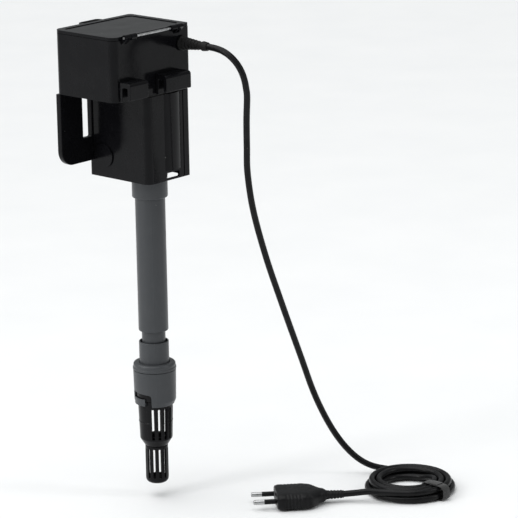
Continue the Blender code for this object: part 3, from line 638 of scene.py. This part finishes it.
def stand_for(obj, body, slot, *nodes, mat=None):
    """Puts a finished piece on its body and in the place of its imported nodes."""
    if mat:
        obj.data.materials.append(mat)
    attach(obj, body)
    if nodes:
        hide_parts(*nodes)
    return obj


# ---------------------------------------------------------------- camera and lights


def make_camera():
    data = bpy.data.cameras.new("camera")
    data.lens = CAMERA_LENS
    data.clip_start, data.clip_end = 0.05, 20.0
    camera = bpy.data.objects.new("camera", data)
    camera.location = CAMERA_AT
    aim = (Vector(CAMERA_TARGET) - camera.location).to_track_quat("-Z", "Y").to_matrix()
    camera.rotation_euler = (aim @ Matrix.Rotation(math.radians(CAMERA_ROLL), 3, "Z")).to_euler()
    show(camera)
    bpy.context.scene.camera = camera
    bpy.context.scene.view_settings.view_transform = "Standard"


def make_light(name, place, target, size, power):
    data = bpy.data.lights.new(name, "AREA")
    data.shape = "RECTANGLE"
    data.size, data.size_y = size
    data.energy = power
    lamp = bpy.data.objects.new(name, data)
    lamp.location = place
    lamp.rotation_euler = (Vector(target) - lamp.location).to_track_quat("-Z", "Y").to_euler()
    show(lamp)


def make_studio():
    middle = (0.02, 0.0, -0.15)
    make_light("softbox_left", (-1.5, 0.5, 0.5), middle, (0.4, 1.2), 9.0)
    make_light("softbox_rear", (0.9, -1.5, 0.7), middle, (0.3, 1.2), 7.0)
    overhead = bpy.data.lights.new("overhead", "SUN")
    overhead.energy = 2.9
    overhead.angle = math.radians(80.0)
    lamp = bpy.data.objects.new("overhead", overhead)
    lamp.rotation_euler = (math.radians(-14.0), math.radians(-16.0), 0)
    show(lamp)
    world = bpy.data.worlds.new("studio")
    world.use_nodes = True
    sky = world.node_tree.nodes["Background"]
    sky.inputs["Color"].default_value = (0.93, 0.96, 0.97, 1.0)
    sky.inputs["Strength"].default_value = 0.3
    bpy.context.scene.world = world
    half = 6000.0
    floor = prism("table", rectangle(-half, -half, half, half, 0), TABLE_Z - 10.0, TABLE_Z, table_top())


# ---------------------------------------------------------------- mains lead


def on_coil(degrees, radius, z):
    return Vector((COIL_X, COIL_Y, z)) + heading(degrees) * radius


def coil_turns():
    """Turns inwards on the table, a quarter turn that climbs, and turns outwards on top of the first ones."""
    out = []
    first = TURNS_IN * TURN_STEPS
    for i in range(first + 1):
        share = i / first
        radius = COIL_OUTER + (COIL_INNER - COIL_OUTER) * share
        out.append(on_coil(ENTRY_DEG - 360 * TURNS_IN * share, radius, LOW_TURN))
    climb = TURN_STEPS // 4
    for i in range(1, climb + 1):
        share = i / climb
        rise = share * share * (3 - 2 * share)
        out.append(on_coil(ENTRY_DEG - 90 * share, COIL_INNER, LOW_TURN + (HIGH_TURN - LOW_TURN) * rise))
    last = round(TURNS_OUT * TURN_STEPS)
    for i in range(1, last + 1):
        share = i / last
        radius = COIL_INNER + (COIL_LEAVE - COIL_INNER) * share
        out.append(on_coil(ENTRY_DEG - 90 - 360 * TURNS_OUT * share, radius, HIGH_TURN))
    return out


def catmull(points, pieces=12):
    """Points on a smooth curve through the given ones."""
    pts = [points[0] * 2 - points[1], *points, points[-1] * 2 - points[-2]]
    out = []
    for a, b, c, d in zip(pts, pts[1:], pts[2:], pts[3:]):
        for i in range(pieces):
            t = i / pieces
            slope = (c - a) * t
            bow = (2 * a - 5 * b + 4 * c - d) * t**2
            twist = (3 * b - a - 3 * c + d) * t**3
            out.append(b + 0.5 * (slope + bow + twist))
    out.append(points[-1])
    return out


def plug_places():
    """The end of the coil's straight, and the middle of the plug's rear face."""
    away = heading(EXIT_DEG - 90)
    lead_out = on_coil(EXIT_DEG, COIL_LEAVE, HIGH_TURN) + away * 27.0
    rear = lead_out + heading((EXIT_DEG - 90 + PLUG_HEADING) / 2) * 20.0
    rear.z = PLUG_Z
    return lead_out, rear


def lead_line():
    """The lead's centreline, from inside the gland to inside the plug."""
    inward = heading(ENTRY_DEG - 90)
    start = on_coil(ENTRY_DEG, COIL_OUTER, LOW_TURN)
    approach = [start - inward * 18.0, start - inward * 9.0]
    hanging = [Vector(p) for p in CORD_ROUTE]
    out = [Vector((GLAND_X, GLAND_TIP + 3.0, GLAND_Z))]
    out += catmull([*hanging, *approach])
    out += coil_turns()
    lead_out, rear = plug_places()
    away, way = heading(EXIT_DEG - 90), heading(PLUG_HEADING)
    leave = on_coil(EXIT_DEG, COIL_LEAVE, HIGH_TURN)
    straight = [leave + away * 9.0, leave + away * 18.0, lead_out]
    out += catmull([*straight, lead_out.lerp(rear, 0.5), rear, rear + way * 9.0])
    return out


def make_gland(mats):
    """Clamped in the case's rear wall, with a ribbed taper round the lead."""
    tip = -GLAND_TIP
    head = [(0, -10.0, 0), (6.2, -10.0, 0.8), (6.2, -8.3, 0.4), (4.6, -8.3, 0.2)]
    flange = [(4.6, -5.7, 0.2), (6.2, -5.7, 0.4), (6.2, -3.9, 0.8), (5.3, -3.6, 0.4)]
    profile = softened([*head, *flange], 4, ends=False)
    ribs, pitch, first = 5, 3.3, -2.6
    for k in range(ribs):
        z = first + k * pitch
        wide = 5.1 - 0.34 * k
        rib = [(wide, z, 0.3), (wide - 0.15, z + 2.1, 0.35)]
        groove = [(wide - 0.95, z + 2.3, 0.2), (wide - 1.1, z + pitch - 0.2, 0.2)]
        profile += softened([*rib, *groove], 3)
    end = [(3.9, tip - 4.6, 0.3), (3.4, tip - 0.6, 0.5), (3.1, tip, 0.3), (2.5, tip, 0)]
    profile += softened(end, 3, ends=False)
    profile.append((0, tip))
    where = {"at": (GLAND_X, GLAND_Z), "closed": False, "along": "-Y"}
    gland = turned("cord_gland_moulding", profile, mats["rubber"], 64, **where)
    return stand_for(gland, "case", "rubber", "cord_gland")


def between(keys, x):
    """Reads a smooth curve through (x, value) keys."""
    for (x0, y0), (x1, y1) in zip(keys, keys[1:]):
        if x <= x1:
            t = max(0.0, (x - x0) / (x1 - x0))
            return y0 + (y1 - y0) * t * t * (3 - 2 * t)
    return keys[-1][1]


def make_plug(mats):
    """Flat two-pin plug: a ribbed sleeve that swells into a body with finger ridges."""
    _, rear = plug_places()
    way, side = heading(PLUG_HEADING), heading(PLUG_HEADING + 90)
    foot = rear + way * GAP
    # Each is a list of (distance from the rear, value)
    half_wide = [(0, 3.3), (13, 3.7), (16.5, 6.4), (29, 16.2), (33, 17.5), (51, 17.5)]
    half_wide += [(54.2, 16.7), (55, 15.4)]
    half_thick = [(0, 3.3), (13, 3.6), (17.5, 5.4), (27, 6.6), (33, 6.83), (52, 6.83)]
    half_thick += [(54.4, 6.3), (55, 5.4)]
    squareness = [(0, 2.0), (14, 2.2), (31, 4.2), (55, 4.2)]
    rings = []
    steps, around, length = 170, 72, 55.0
    for i in range(steps + 1):
        x = length * i / steps
        wide, thick = between(half_wide, x), between(half_thick, x)
        power = 2 / between(squareness, x)
        if x < 13:
            ring_cut = 0.42 * max(0.0, math.sin(2 * math.pi * x / 2.6)) ** 0.7
            wide, thick = wide - ring_cut, thick - ring_cut
        if 35 < x < 49:
            wide -= 0.75 * (0.5 - 0.5 * math.cos(2 * math.pi * (x - 35) / 2.8))
        ring = []
        for k in range(around):
            a = 2 * math.pi * k / around
            c, s = math.cos(a), math.sin(a)
            u = math.copysign(abs(c) ** power, c) * wide
            v = math.copysign(abs(s) ** power, s) * thick
            ring.append(foot + way * x + side * u + Vector((0, 0, v)))
        rings.append(ring)
    body = skin("plug_moulding", rings, mats["plug"], sharp=50.0)
    stand_for(body, "case", "plug", "plug_body")
    pieces = [body]
    for i, y in enumerate((-9.3, 9.3)):
        shank = softened([(0, 55.3, 0), (1.9, 55.3, 0), (1.9, 74.0, 1.3), (0, 74.0, 0)], 8, ends=False)
        cover = softened([(1.9, 55.3, 0), (2.0, 55.3, 0.1), (2.0, 65.3, 0.1), (1.9, 65.3, 0)], 3)
        for name, profile, mat, closed in (("shank", shank, "steel", False), ("cover", cover, "plug", True)):
            pin = turned(f"plug_pin_{name}_{i + 1}", profile, mats[mat], 40, (y, 0), closed, along="X")
            pin.matrix_world = Matrix.Translation((foot.x * MM, foot.y * MM, PLUG_Z * MM)) @ Matrix.Rotation(
                math.radians(PLUG_HEADING), 4, "Z"
            )
            pieces.append(stand_for(pin, "case", mat, *([f"plug_pin_{i + 1}"] if name == "shank" else [])))
    return pieces


def make_tie(mats):
    """Woven strap round one side of the coil, with its end lapped over on top."""
    way, across = heading(TIE_DEG), heading(TIE_DEG + 90)
    inner, outer = COIL_INNER - CORD_R - 1.1, COIL_OUTER + CORD_R + 1.1
    base, top = TABLE_Z + 0.4, HIGH_TURN + CORD_R + 0.5
    path = rectangle(inner, base, outer, top, (2.4, 3.6, 4.4, 3.4), 10)
    dense = []
    for a, b in zip(path, path[1:] + path[:1]):
        count = max(1, round((b - a).length / 0.8))
        dense += [a.lerp(b, k / count) for k in range(count)]
    section = rectangle(-4.0, -0.35, 4.0, 0.35, 0.3, 3)
    rings = []
    for i, p in enumerate(dense):
        along = (dense[(i + 1) % len(dense)] - dense[i - 1]).normalized()
        out = Vector((along.y, -along.x))
        ring = []
        for u, v in section:
            q = p + out * v
            ring.append(Vector((COIL_X, COIL_Y, q.y)) + way * q.x + across * u)
        rings.append(ring)
    band = skin("coil_strap", rings, mats["tie"], closed=True, lengths=True)
    stand_for(band, "case", "tie", "coil_tie")
    lap = []
    first, last, lift = 24.0, 33.5, 0.72
    for i in range(25):
        r = first + (last - first) * i / 24
        z = top + lift - 0.10 * (1 - i / 24)
        ring = [Vector((COIL_X, COIL_Y, z + v)) + way * r + across * (u * 0.96) for u, v in section]
        lap.append(ring)
    flap = skin("coil_strap_end", lap, mats["tie"], lengths=True)
    stand_for(flap, "case", "tie")
    return [band, flap]


def make_lead(mats):
    line = lead_line()
    curve = bpy.data.curves.new("mains_lead", "CURVE")
    curve.dimensions = "3D"
    curve.bevel_depth = CORD_R * MM
    curve.bevel_resolution = 6
    curve.use_fill_caps = True
    spline = curve.splines.new("POLY")
    spline.points.add(len(line) - 1)
    for point, place in zip(spline.points, line):
        point.co = (*(place * MM), 1.0)
    curve.materials.append(mats["cord"])
    lead = bpy.data.objects.new("mains_lead", curve)
    show(lead)
    stand_for(lead, "case", "cord", "power_cord", "cord_coil", "cord_tail")
    with_pieces = [make_gland(mats), *make_plug(mats), *make_tie(mats)]


# ---------------------------------------------------------------- filter case


def add_knuckles(obj, outline, places):
    """Welds hinge knuckles of one outline to an object, and bores each for the pin."""
    for i, x in enumerate(places):
        weld(obj, prism(f"knuckle_{i}", outline, x, x + KNUCKLE, along="X"))
        where = {"at": (HINGE_Y, HINGE_Z), "along": "X", "segments": 32}
        cut(obj, rod(f"bore_{i}", PIN_BORE_R, x - 1, x + KNUCKLE + 1, **where))


def make_case(mats):
    inner = tuple(r - WALL for r in CASE_RADII)
    outer = rectangle(CASE_LEFT, REAR, CASE_RIGHT, FRONT, CASE_RADII)
    case = prism("filter_case_moulding", outer, CASE_FLOOR, CASE_TOP)
    hollow = rectangle(CASE_LEFT + WALL, REAR + WALL, CASE_RIGHT - WALL, FRONT - WALL, inner)
    floor = (CASE_FLOOR - 2, CASE_FLOOR + WALL + 2)
    cut(case, prism("hollow", hollow, CASE_FLOOR + WALL, CASE_TOP + 5))
    cut(
        case,
        prism("outlet", rectangle(-54.0, 25.5, -28.0, 62.0, 3.0), *floor),
        rod("riser_hole", 4.9, *floor, at=RISER_AT),
        rod("lead_hole", 3.4, *floor, at=(10.0, 52.0)),
        rod("gland_hole", 4.9, -9.0, -5.0, at=(GLAND_X, GLAND_Z), along="-Y"),
        *rods("hook_hole", HOOK_SCREWS, 1.7, -9.0, -5.0, along="-Y"),
        *rods("screw_hole", CASE_SCREWS, 1.7, *floor),
    )
    root = [Vector((5.9, 36.1)), Vector((6.6, 35.6)), Vector((6.6, 32.0))]
    add_knuckles(case, [*arc(HINGE_Y, HINGE_Z, KNUCKLE_R, 180, 0, 20), *root], (-50.0, 8.0))
    ease(case, 0.5)
    stand_for(case, "case", "housing", "filter_case", mat=mats["housing"])


def make_lid(mats):
    base = CASE_TOP + GAP
    top = base + LID_T
    lid = prism("lid_moulding", rectangle(CASE_LEFT, REAR + GAP, CASE_RIGHT, FRONT, CASE_RADII), base, top)
    weld(lid, prism("tab", rectangle(-28.0, FRONT - 1, -5.0, FRONT + 5, (0, 0, 3, 3)), base, top))
    root = [Vector((7.0, base + 0.1)), Vector((7.0, top))]
    add_knuckles(lid, [*arc(HINGE_Y, HINGE_Z, KNUCKLE_R, 90, 270, 20), *root], (-43.6, 1.6))
    panel = rectangle(CASE_LEFT + 5, REAR + 6, CASE_RIGHT - 5, FRONT - 5, 4.0)
    cut(lid, prism("panel", panel, top - 0.5, top + 2))
    ridges = []
    for k in range(4):
        y = FRONT + 0.2 + k * 1.15
        ridge = rectangle(y, top - 0.3, y + 0.55, top + 0.35, 0.2, 3)
        ridges.append(prism(f"ridge_{k}", ridge, -25.0, -8.0, along="X"))
    weld(lid, *ridges)
    ease(lid, 0.4)
    stand_for(lid, "lid_leaf", "housing", "lid", mat=mats["housing"])


def make_hooks(mats):
    half = 2.8
    top, depth = high("hanger_hook_right").z, -9.5
    toe = low("hanger_hook_right").z
    back = [(half, toe, 0.4), (REAR - GAP, toe, 0.4), (REAR - GAP, top, 1.0)]
    front = [(-half - 3.2, top, 2.6), (-half - 3.2, depth, 0.8), (-half, depth, 0.5)]
    outline = softened([(-half, 0, 0.6), (half, 0, 0.6), *back, *front])
    for side in ("right", "left"):
        node_name = f"hanger_hook_{side}"
        start, end = low(node_name).x, high(node_name).x
        hook = prism(f"{node_name}_moulding", outline, start, end, along="X")
        holes = [at for at in HOOK_SCREWS if start < at[0] < end]
        cut(hook, *rods("hole", holes, 1.65, -6.5, -3.4, along="-Y"))
        ease(hook, 0.5)
        stand_for(hook, "case", "housing", node_name, mat=mats["housing"])


def make_screws(mats):
    """Pan-head screws with a cross recess. Those of the hooks lie along Y and those of the case stand."""
    groups = (
        ("hanger_screw", HOOK_SCREWS, 8.3, 3.7, -1, "-Y"),
        ("case_screw", CASE_SCREWS, CASE_FLOOR + WALL + GAP, -25.0, 1, "Z"),
    )
    for name, places, seat, tip, way, along in groups:
        for i, at in enumerate(places):
            rim = way * seat
            head = [(0, 1.6, 0), (1.9, 1.6, 0.9), (2.6, 0.7, 0.4), (2.6, 0, 0.2), (1.3, 0, 0.1)]
            profile = softened([(r, rim + way * z, f) for r, z, f in head], 5, ends=False)
            end = way * tip
            pitch, shank = 0.9, rim - way * 0.8
            turns = int(abs(end - shank) / pitch) - 1
            for k in range(max(0, turns)):
                z = shank - way * k * pitch
                profile += [Vector((1.3, z)), Vector((1.05, z - way * pitch / 2))]
            profile += [Vector((0.9, end + way * 0.3)), Vector((0, end))]
            screw = turned(f"{name}_{i + 1}_turned", profile, None, 40, at, closed=False, along=along)
            deep, reach = rim + way * 0.7, rim + way * 2.5
            bars = []
            for turn in (0, 90):
                outline = rectangle(-1.35, -0.28, 1.35, 0.28, 0.1, 2)
                if turn:
                    outline = [Vector((-p.y, p.x)) for p in outline]
                outline = [p + Vector(at) for p in outline]
                bars.append(prism(f"recess_{turn}", outline, way * deep, way * reach, along=along[-1]))
            weld(bars[0], bars[1])
            cut(screw, bars[0])
            stand_for(screw, "case", "steel", f"{name}_{i + 1}", mat=mats["steel"])


# ---------------------------------------------------------------- pump chamber and guard


def make_chamber(mats):
    radii = (EDGE_R, SMALL_R, SMALL_R, 2.5)
    inner = tuple(r - WALL for r in radii)
    outline = rectangle(CHAMBER_LEFT, REAR, CHAMBER_RIGHT, FRONT, radii, 12)
    hollow = rectangle(CHAMBER_LEFT + WALL, REAR + WALL, CHAMBER_RIGHT - WALL, FRONT - WALL, inner)
    chamber = prism("pump_chamber_moulding", outline, CHAMBER_FLOOR, CHAMBER_TOP)
    cut(chamber, prism("hollow", hollow, CHAMBER_FLOOR + WALL, CHAMBER_TOP + 5))
    crown = arc(4.0, REAR + 19.25, 21.25, 245.0, 295.0, 24)
    bulge = [Vector((-5.0, REAR + 1)), *crown, Vector((13.0, REAR + 1))]
    weld(chamber, prism("bulge", bulge, -75.0, CHAMBER_TOP))
    weld(chamber, block("rib", (16.6, REAR - 0.5, CHAMBER_FLOOR + 0.6), (17.6, REAR + 1, CHAMBER_TOP)))
    boss = rod("boss", 9.5, CHAMBER_LEFT - 1.2, CHAMBER_LEFT + 1, at=(54.0, -65.4), along="X", segments=64)
    weld(chamber, boss)
    weld(chamber, *rods("post", CASE_SCREWS, 2.9, -30.0, CHAMBER_TOP, 32))
    drain = [(-4.0, 8.0), (21.0, 8.0), (21.0, 27.0), (15.0, 27.0), (10.5, 18.5), (-4.0, 14.5)]
    drain = softened([(x, y, 0.8) for x, y in drain], 4)
    cut(
        chamber,
        *rods("post_hole", CASE_SCREWS, 1.6, -27.0, CHAMBER_TOP + 2),
        rod("inlet", 8.9, CHAMBER_FLOOR - 2, CHAMBER_FLOOR + WALL + 2),
        prism("slot", rectangle(-4.0, -81.5, 11.0, -77.0, 0.6, 4), REAR - 2, REAR + WALL + 2, along="Y"),
        prism("drain", drain, CHAMBER_FLOOR - 2, CHAMBER_FLOOR + WALL + 1),
    )
    ease(chamber, 0.6)
    stand_for(chamber, "case", "housing", "pump_chamber", mat=mats["housing"])


def make_guard(mats):
    lowest, highest = low("splash_guard"), high("splash_guard")
    outline = rectangle(lowest.x, lowest.z, highest.x, highest.z, (12.5, 1.0, 0, 0), 16)
    guard = prism("splash_guard_moulding", outline, lowest.y, highest.y, along="Y")
    cut(guard, prism("slot", rectangle(-34.6, -51.4, -25.5, -18.0, 1.2, 5), 64, 73, along="Y"))
    ease(guard, 0.6)
    stand_for(guard, "case", "housing", "splash_guard", mat=mats["housing"])


# ---------------------------------------------------------------- suction tube


def make_socket(mats):
    lip = low("socket_collar").z
    profile = [
        (14.25, -83.3, 0.5),
        (14.25, lip, 1.2),
        (12.3, lip, 0.4),
        (12.3, -85.5, 0),
        (6.0, -85.5, 0.3),
        (6.0, -77.6, 0.3),
        (8.5, -77.6, 0.3),
        (8.5, -83.3, 0),
    ]
    socket = turned("socket_collar_moulding", softened(profile), None, seam=0.1, bore=13.0)
    weld(socket, block("bar", (-7.0, AXIS_Y - 1.4, -81.2), (7.0, AXIS_Y + 1.4, -78.4)))
    weld(socket, rod("hub", 3.8, -81.3, -78.3))
    cut(socket, rod("bore", 2.7, -84, -75))
    shade(socket, 35.0)
    stand_for(socket, "case", "tube", "socket_collar", mat=mats["tube"])


def make_main_tube(mats):
    lip = TUBE_END + 3.0
    profile = [
        (TUBE_R, TUBE_TOP, 0.5),
        (TUBE_R, TUBE_END, 0.9),
        (9.8, TUBE_END, 0.3),
        (9.8, lip, 0.2),
        (10.3, lip + 0.4, 0),
        (10.3, TUBE_TOP, 0.4),
    ]
    tube = turned("main_tube_moulding", softened(profile), mats["tube"], seam=0.12, bore=11.0)
    stand_for(tube, "case", "tube", "main_tube")


def make_drop_tube(mats):
    top, end = high("inner_tube").z, low("inner_tube").z
    bead = 10.0
    profile = [(9.5, top, 0.4), (9.5, top - 4.0, 0.2), (bead, top - 4.4, 0.3), (bead, top - 6.6, 0.3)]
    profile += [(9.5, top - 7.0, 0.2), (9.5, end, 0.4), (7.8, end, 0.4), (7.8, top, 0.4)]
    inner = turned("inner_tube_moulding", softened(profile), mats["tube"], seam=0.08, bore=9.0)
    stand_for(inner, "drop_tube", "tube", "inner_tube")

    mouth = 10.9  # the sleeve's mouth stands clear of the inner tube
    profile = [
        (TUBE_R, SLEEVE_TOP, 0.6),
        (TUBE_R, DRUM_TOP, 0),
        (DRUM_R, DRUM_TOP, 0.3),
        (DRUM_R, low("strainer_sleeve").z, 0.3),
        (DRUM_BORE_R, low("strainer_sleeve").z, 0.3),
        (DRUM_BORE_R, -242.6, 0),
        (9.8, -242.6, 0),
        (9.8, SLEEVE_TOP - 4.0, 0.2),
        (mouth, SLEEVE_TOP - 3.4, 0.2),
        (mouth, SLEEVE_TOP, 0.3),
    ]
    sleeve = turned("strainer_sleeve_moulding", softened(profile), mats["tube"], seam=0.12, bore=11.2)
    sleeve.data.materials.append(mats["strainer"])
    for face in sleeve.data.polygons:
        if face.center.z < (DRUM_TOP - 0.1) * MM:
            face.material_index = 1
    stand_for(sleeve, "drop_tube", "tube", "strainer_sleeve")

    seam = low("collar_cap").z
    profile = [
        (12.4, COLLAR_TOP, 0.3),
        (17.0, COLLAR_TOP, 3.3),
        (17.0, -239.6, 0.2),
        (COLLAR_R, -239.9, 0.25),
        (COLLAR_R, seam, 0.3),
        (15.7, seam, 0),
        (15.7, -240.3, 0),
        (12.4, -240.3, 0),
    ]
    cap = turned("collar_cap_moulding", softened(profile, 10), mats["tube"], seam=0.1, bore=16.2)
    stand_for(cap, "drop_tube", "tube", "collar_cap")


def notch_section(degrees):
    """The lock ring's notch at an azimuth: open below, with rounded upper corners."""
    reach = math.radians(min(degrees - NOTCH_START, NOTCH_END - degrees)) * COLLAR_R
    drop = NOTCH_R - math.sqrt(NOTCH_R**2 - max(0.0, NOTCH_R - reach) ** 2)
    share = (degrees - NOTCH_START) / (NOTCH_END - NOTCH_START)
    top = NOTCH_HIGH + (NOTCH_LOW - NOTCH_HIGH) * share - drop
    return [(14.0, COLLAR_END - 4), (20.0, COLLAR_END - 4), (20.0, top), (14.0, top)]


def make_ring(mats):
    seam = high("collar_ring").z
    profile = [
        (COLLAR_R - 0.2, seam, 0.3),
        (16.8, COLLAR_END + 3.8, 1.0),
        (15.2, COLLAR_END, 0.5),
        (14.4, COLLAR_END, 0.2),
        (14.4, -267.6, 0.2),
        (15.7, -266.9, 0),
        (15.7, seam, 0),
    ]
    ring = turned("collar_ring_moulding", softened(profile, 8), None, seam=0.1, bore=16.2)
    cut(ring, sector("notch", notch_section, NOTCH_START, NOTCH_END, 74))
    ease(ring, 0.3, angle=50.0)
    stand_for(ring, "lock_ring", "tube", "collar_ring", mat=mats["tube"])


def slot_tools(name, count, places, width, start, end, low_z, high_z):
    """Cutters for upright slots round the strainer, at places counted in pitches, in one mesh."""
    bm = bmesh.new()
    outline = rectangle(-width / 2, low_z, width / 2, high_z, 0.6, 4)
    for place in places:
        out, side = heading(360.0 * place / count), heading(360.0 * place / count + 90)
        push(bm, outline, start, end, lambda u, v, w: Vector((AXIS_X, AXIS_Y, v)) + out * w + side * u)
    return finish_mesh(name, bm)


def make_strainer(mats):
    profile = [
        (13.0, -256.0, 0.4),
        (13.0, -266.7, 0.2),
        (14.0, -266.8, 0.3),
        (14.0, -273.0, 0.5),
        (13.6, -284.8, 0.1),
        (13.8, -285.1, 0.1),
        (13.8, -285.6, 0.1),
        (13.55, -285.9, 0.1),
        (13.1, -300.0, 2.5),
        (9.3, CAGE_END, 0.5),
        (7.9, CAGE_END, 0.3),
        (11.4, -300.2, 1.5),
        (12.2, -271.0, 0.5),
        (11.4, -266.8, 0.2),
        (11.4, -256.0, 0.4),
    ]
    cage = turned("strainer_cage_moulding", softened(profile, 6), None, 128)
    places = [k + 0.5 for k in range(CAGE_PLACES) if k not in BEHIND_LUG]
    cut(cage, slot_tools("cage_slots", CAGE_PLACES, places, 2.15, 9.0, 20.0, -299.6, -273.2))
    lug = [(13.4, -266.9), (13.4, -270.0), (16.6, -270.0), (16.6, -264.2), (15.6, -264.2), (15.6, -266.9)]
    lug = softened([(r, z, 0.3) for r, z in lug], 3)
    weld(cage, sector("lug", lambda degrees: lug, LUG_START, LUG_END, 40))
    ease(cage, 0.22, 2, angle=55.0)
    cage.data.materials.append(mats["strainer"])
    cage.data.materials.append(mats["tube"])
    for face in cage.data.polygons:
        reach = face.center / MM - Vector((AXIS_X, AXIS_Y, 0))
        if reach.xy.length > LUG_FACE:
            face.material_index = 1
    stand_for(cage, "strainer", "strainer", "strainer_cage")

    shoulder = CAGE_END - GAP
    profile = [
        (7.5, -299.0, 0.3),
        (7.5, shoulder, 0),
        (9.25, shoulder, 0.4),
        (9.25, TIP_END, 3.6),
        (0, TIP_END, 0),
        (0, TIP_END + 1.6, 0),
        (7.7, TIP_END + 1.6, 3.0),
        (7.7, -308.6, 0.5),
        (6.3, shoulder, 0.3),
        (6.3, -299.0, 0.3),
    ]
    tip = turned("strainer_tip_moulding", softened(profile, 7), None, 120)
    cut(tip, slot_tools("tip_slots", TIP_SLOTS, range(TIP_SLOTS), 1.95, 5.0, 14.0, -333.5, -308.6))
    ease(tip, 0.2, 2, angle=55.0)
    stand_for(tip, "strainer", "strainer", "strainer_tip", mat=mats["strainer"])


# ---------------------------------------------------------------- filter media


def lumpy(name, node_name, mat, cell, crown, relief, relief_size, seed, margin=0.4):
    """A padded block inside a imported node's box: crowned faces, soft edges and uneven skin."""
    lowest, highest = low(node_name) + Vector((margin,) * 3), high(node_name) - Vector((margin,) * 3)
    size = highest - lowest
    counts = [max(3, round(s / cell)) for s in size]
    bm = bmesh.new()
    bmesh.ops.create_cube(bm, size=1.0)
    for axis in range(3):
        edges = [e for e in bm.edges if abs((e.verts[0].co - e.verts[1].co)[axis]) > 1e-6]
        bmesh.ops.subdivide_edges(bm, edges=edges, cuts=counts[axis] - 1, use_grid_fill=True)
    middle = (lowest + highest) / 2
    for vert in bm.verts:
        share = vert.co * 2
        vert.co = Vector(a * b for a, b in zip(vert.co, size)) + middle
        near = [min(1.0, (1 - abs(share[i])) * size[i] / 2 / 3.0) for i in range(3)]
        edge = sorted(near)[1]
        pull = (1 - edge) ** 2 * crown
        vert.co -= Vector(math.copysign(pull if abs(share[i]) > 0.999 else 0.0, share[i]) for i in range(3))
        bumpy = noise.fractal(vert.co / relief_size + Vector((seed, 0, 0)), 1.0, 2.0, 3)
        vert.co += (vert.co - middle).normalized() * (bumpy * relief - relief)
    return finish_mesh(name, bm, mat, 70.0)


def make_media(mats):
    sponge = lumpy("filter_sponge_foam", "filter_sponge", mats["sponge"], 1.5, 0.9, 0.35, 2.2, 3.0)
    stand_for(sponge, "case", "sponge", "filter_sponge")
    carbon = lumpy("carbon_cartridge_fleece", "carbon_cartridge", mats["carbon"], 1.6, 2.2, 0.45, 5.0, 11.0)
    stand_for(carbon, "case", "carbon", "carbon_cartridge")


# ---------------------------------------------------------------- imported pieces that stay

PACKED_LOOKS = {
    "lid_hinge_pin": "steel",
    "media_grate": "dark",
    "chamber_seal": "rubber",
    "motor_body": "potting",
    "motor_cap": "potting",
    "stator_core": "lamination",
    "motor_coil": "copper",
    "volute_cover": "housing",
    "impeller": "ceramic",
    "rotor_magnet": "magnet",
    "ceramic_shaft": "ceramic",
    "shaft_bush_bottom": "rubber",
    "shaft_bush_top": "rubber",
    "riser_tube": "housing",
    "flow_knob": "dark",
    "motor_lead": "cord",
}


def paint_packed(mats):
    for name, look in PACKED_LOOKS.items():
        for slot in frame["nodes"][name].material_slots:
            slot.material = mats[look]


def main():
    make_camera()
    make_studio()
    mats = make_materials()
    upper = (make_lead, make_case, make_lid, make_hooks, make_screws, make_chamber, make_guard)
    lower = (make_socket, make_main_tube, make_drop_tube, make_ring, make_strainer, make_media)
    for make in (*upper, *lower):
        make(mats)
    paint_packed(mats)


main()
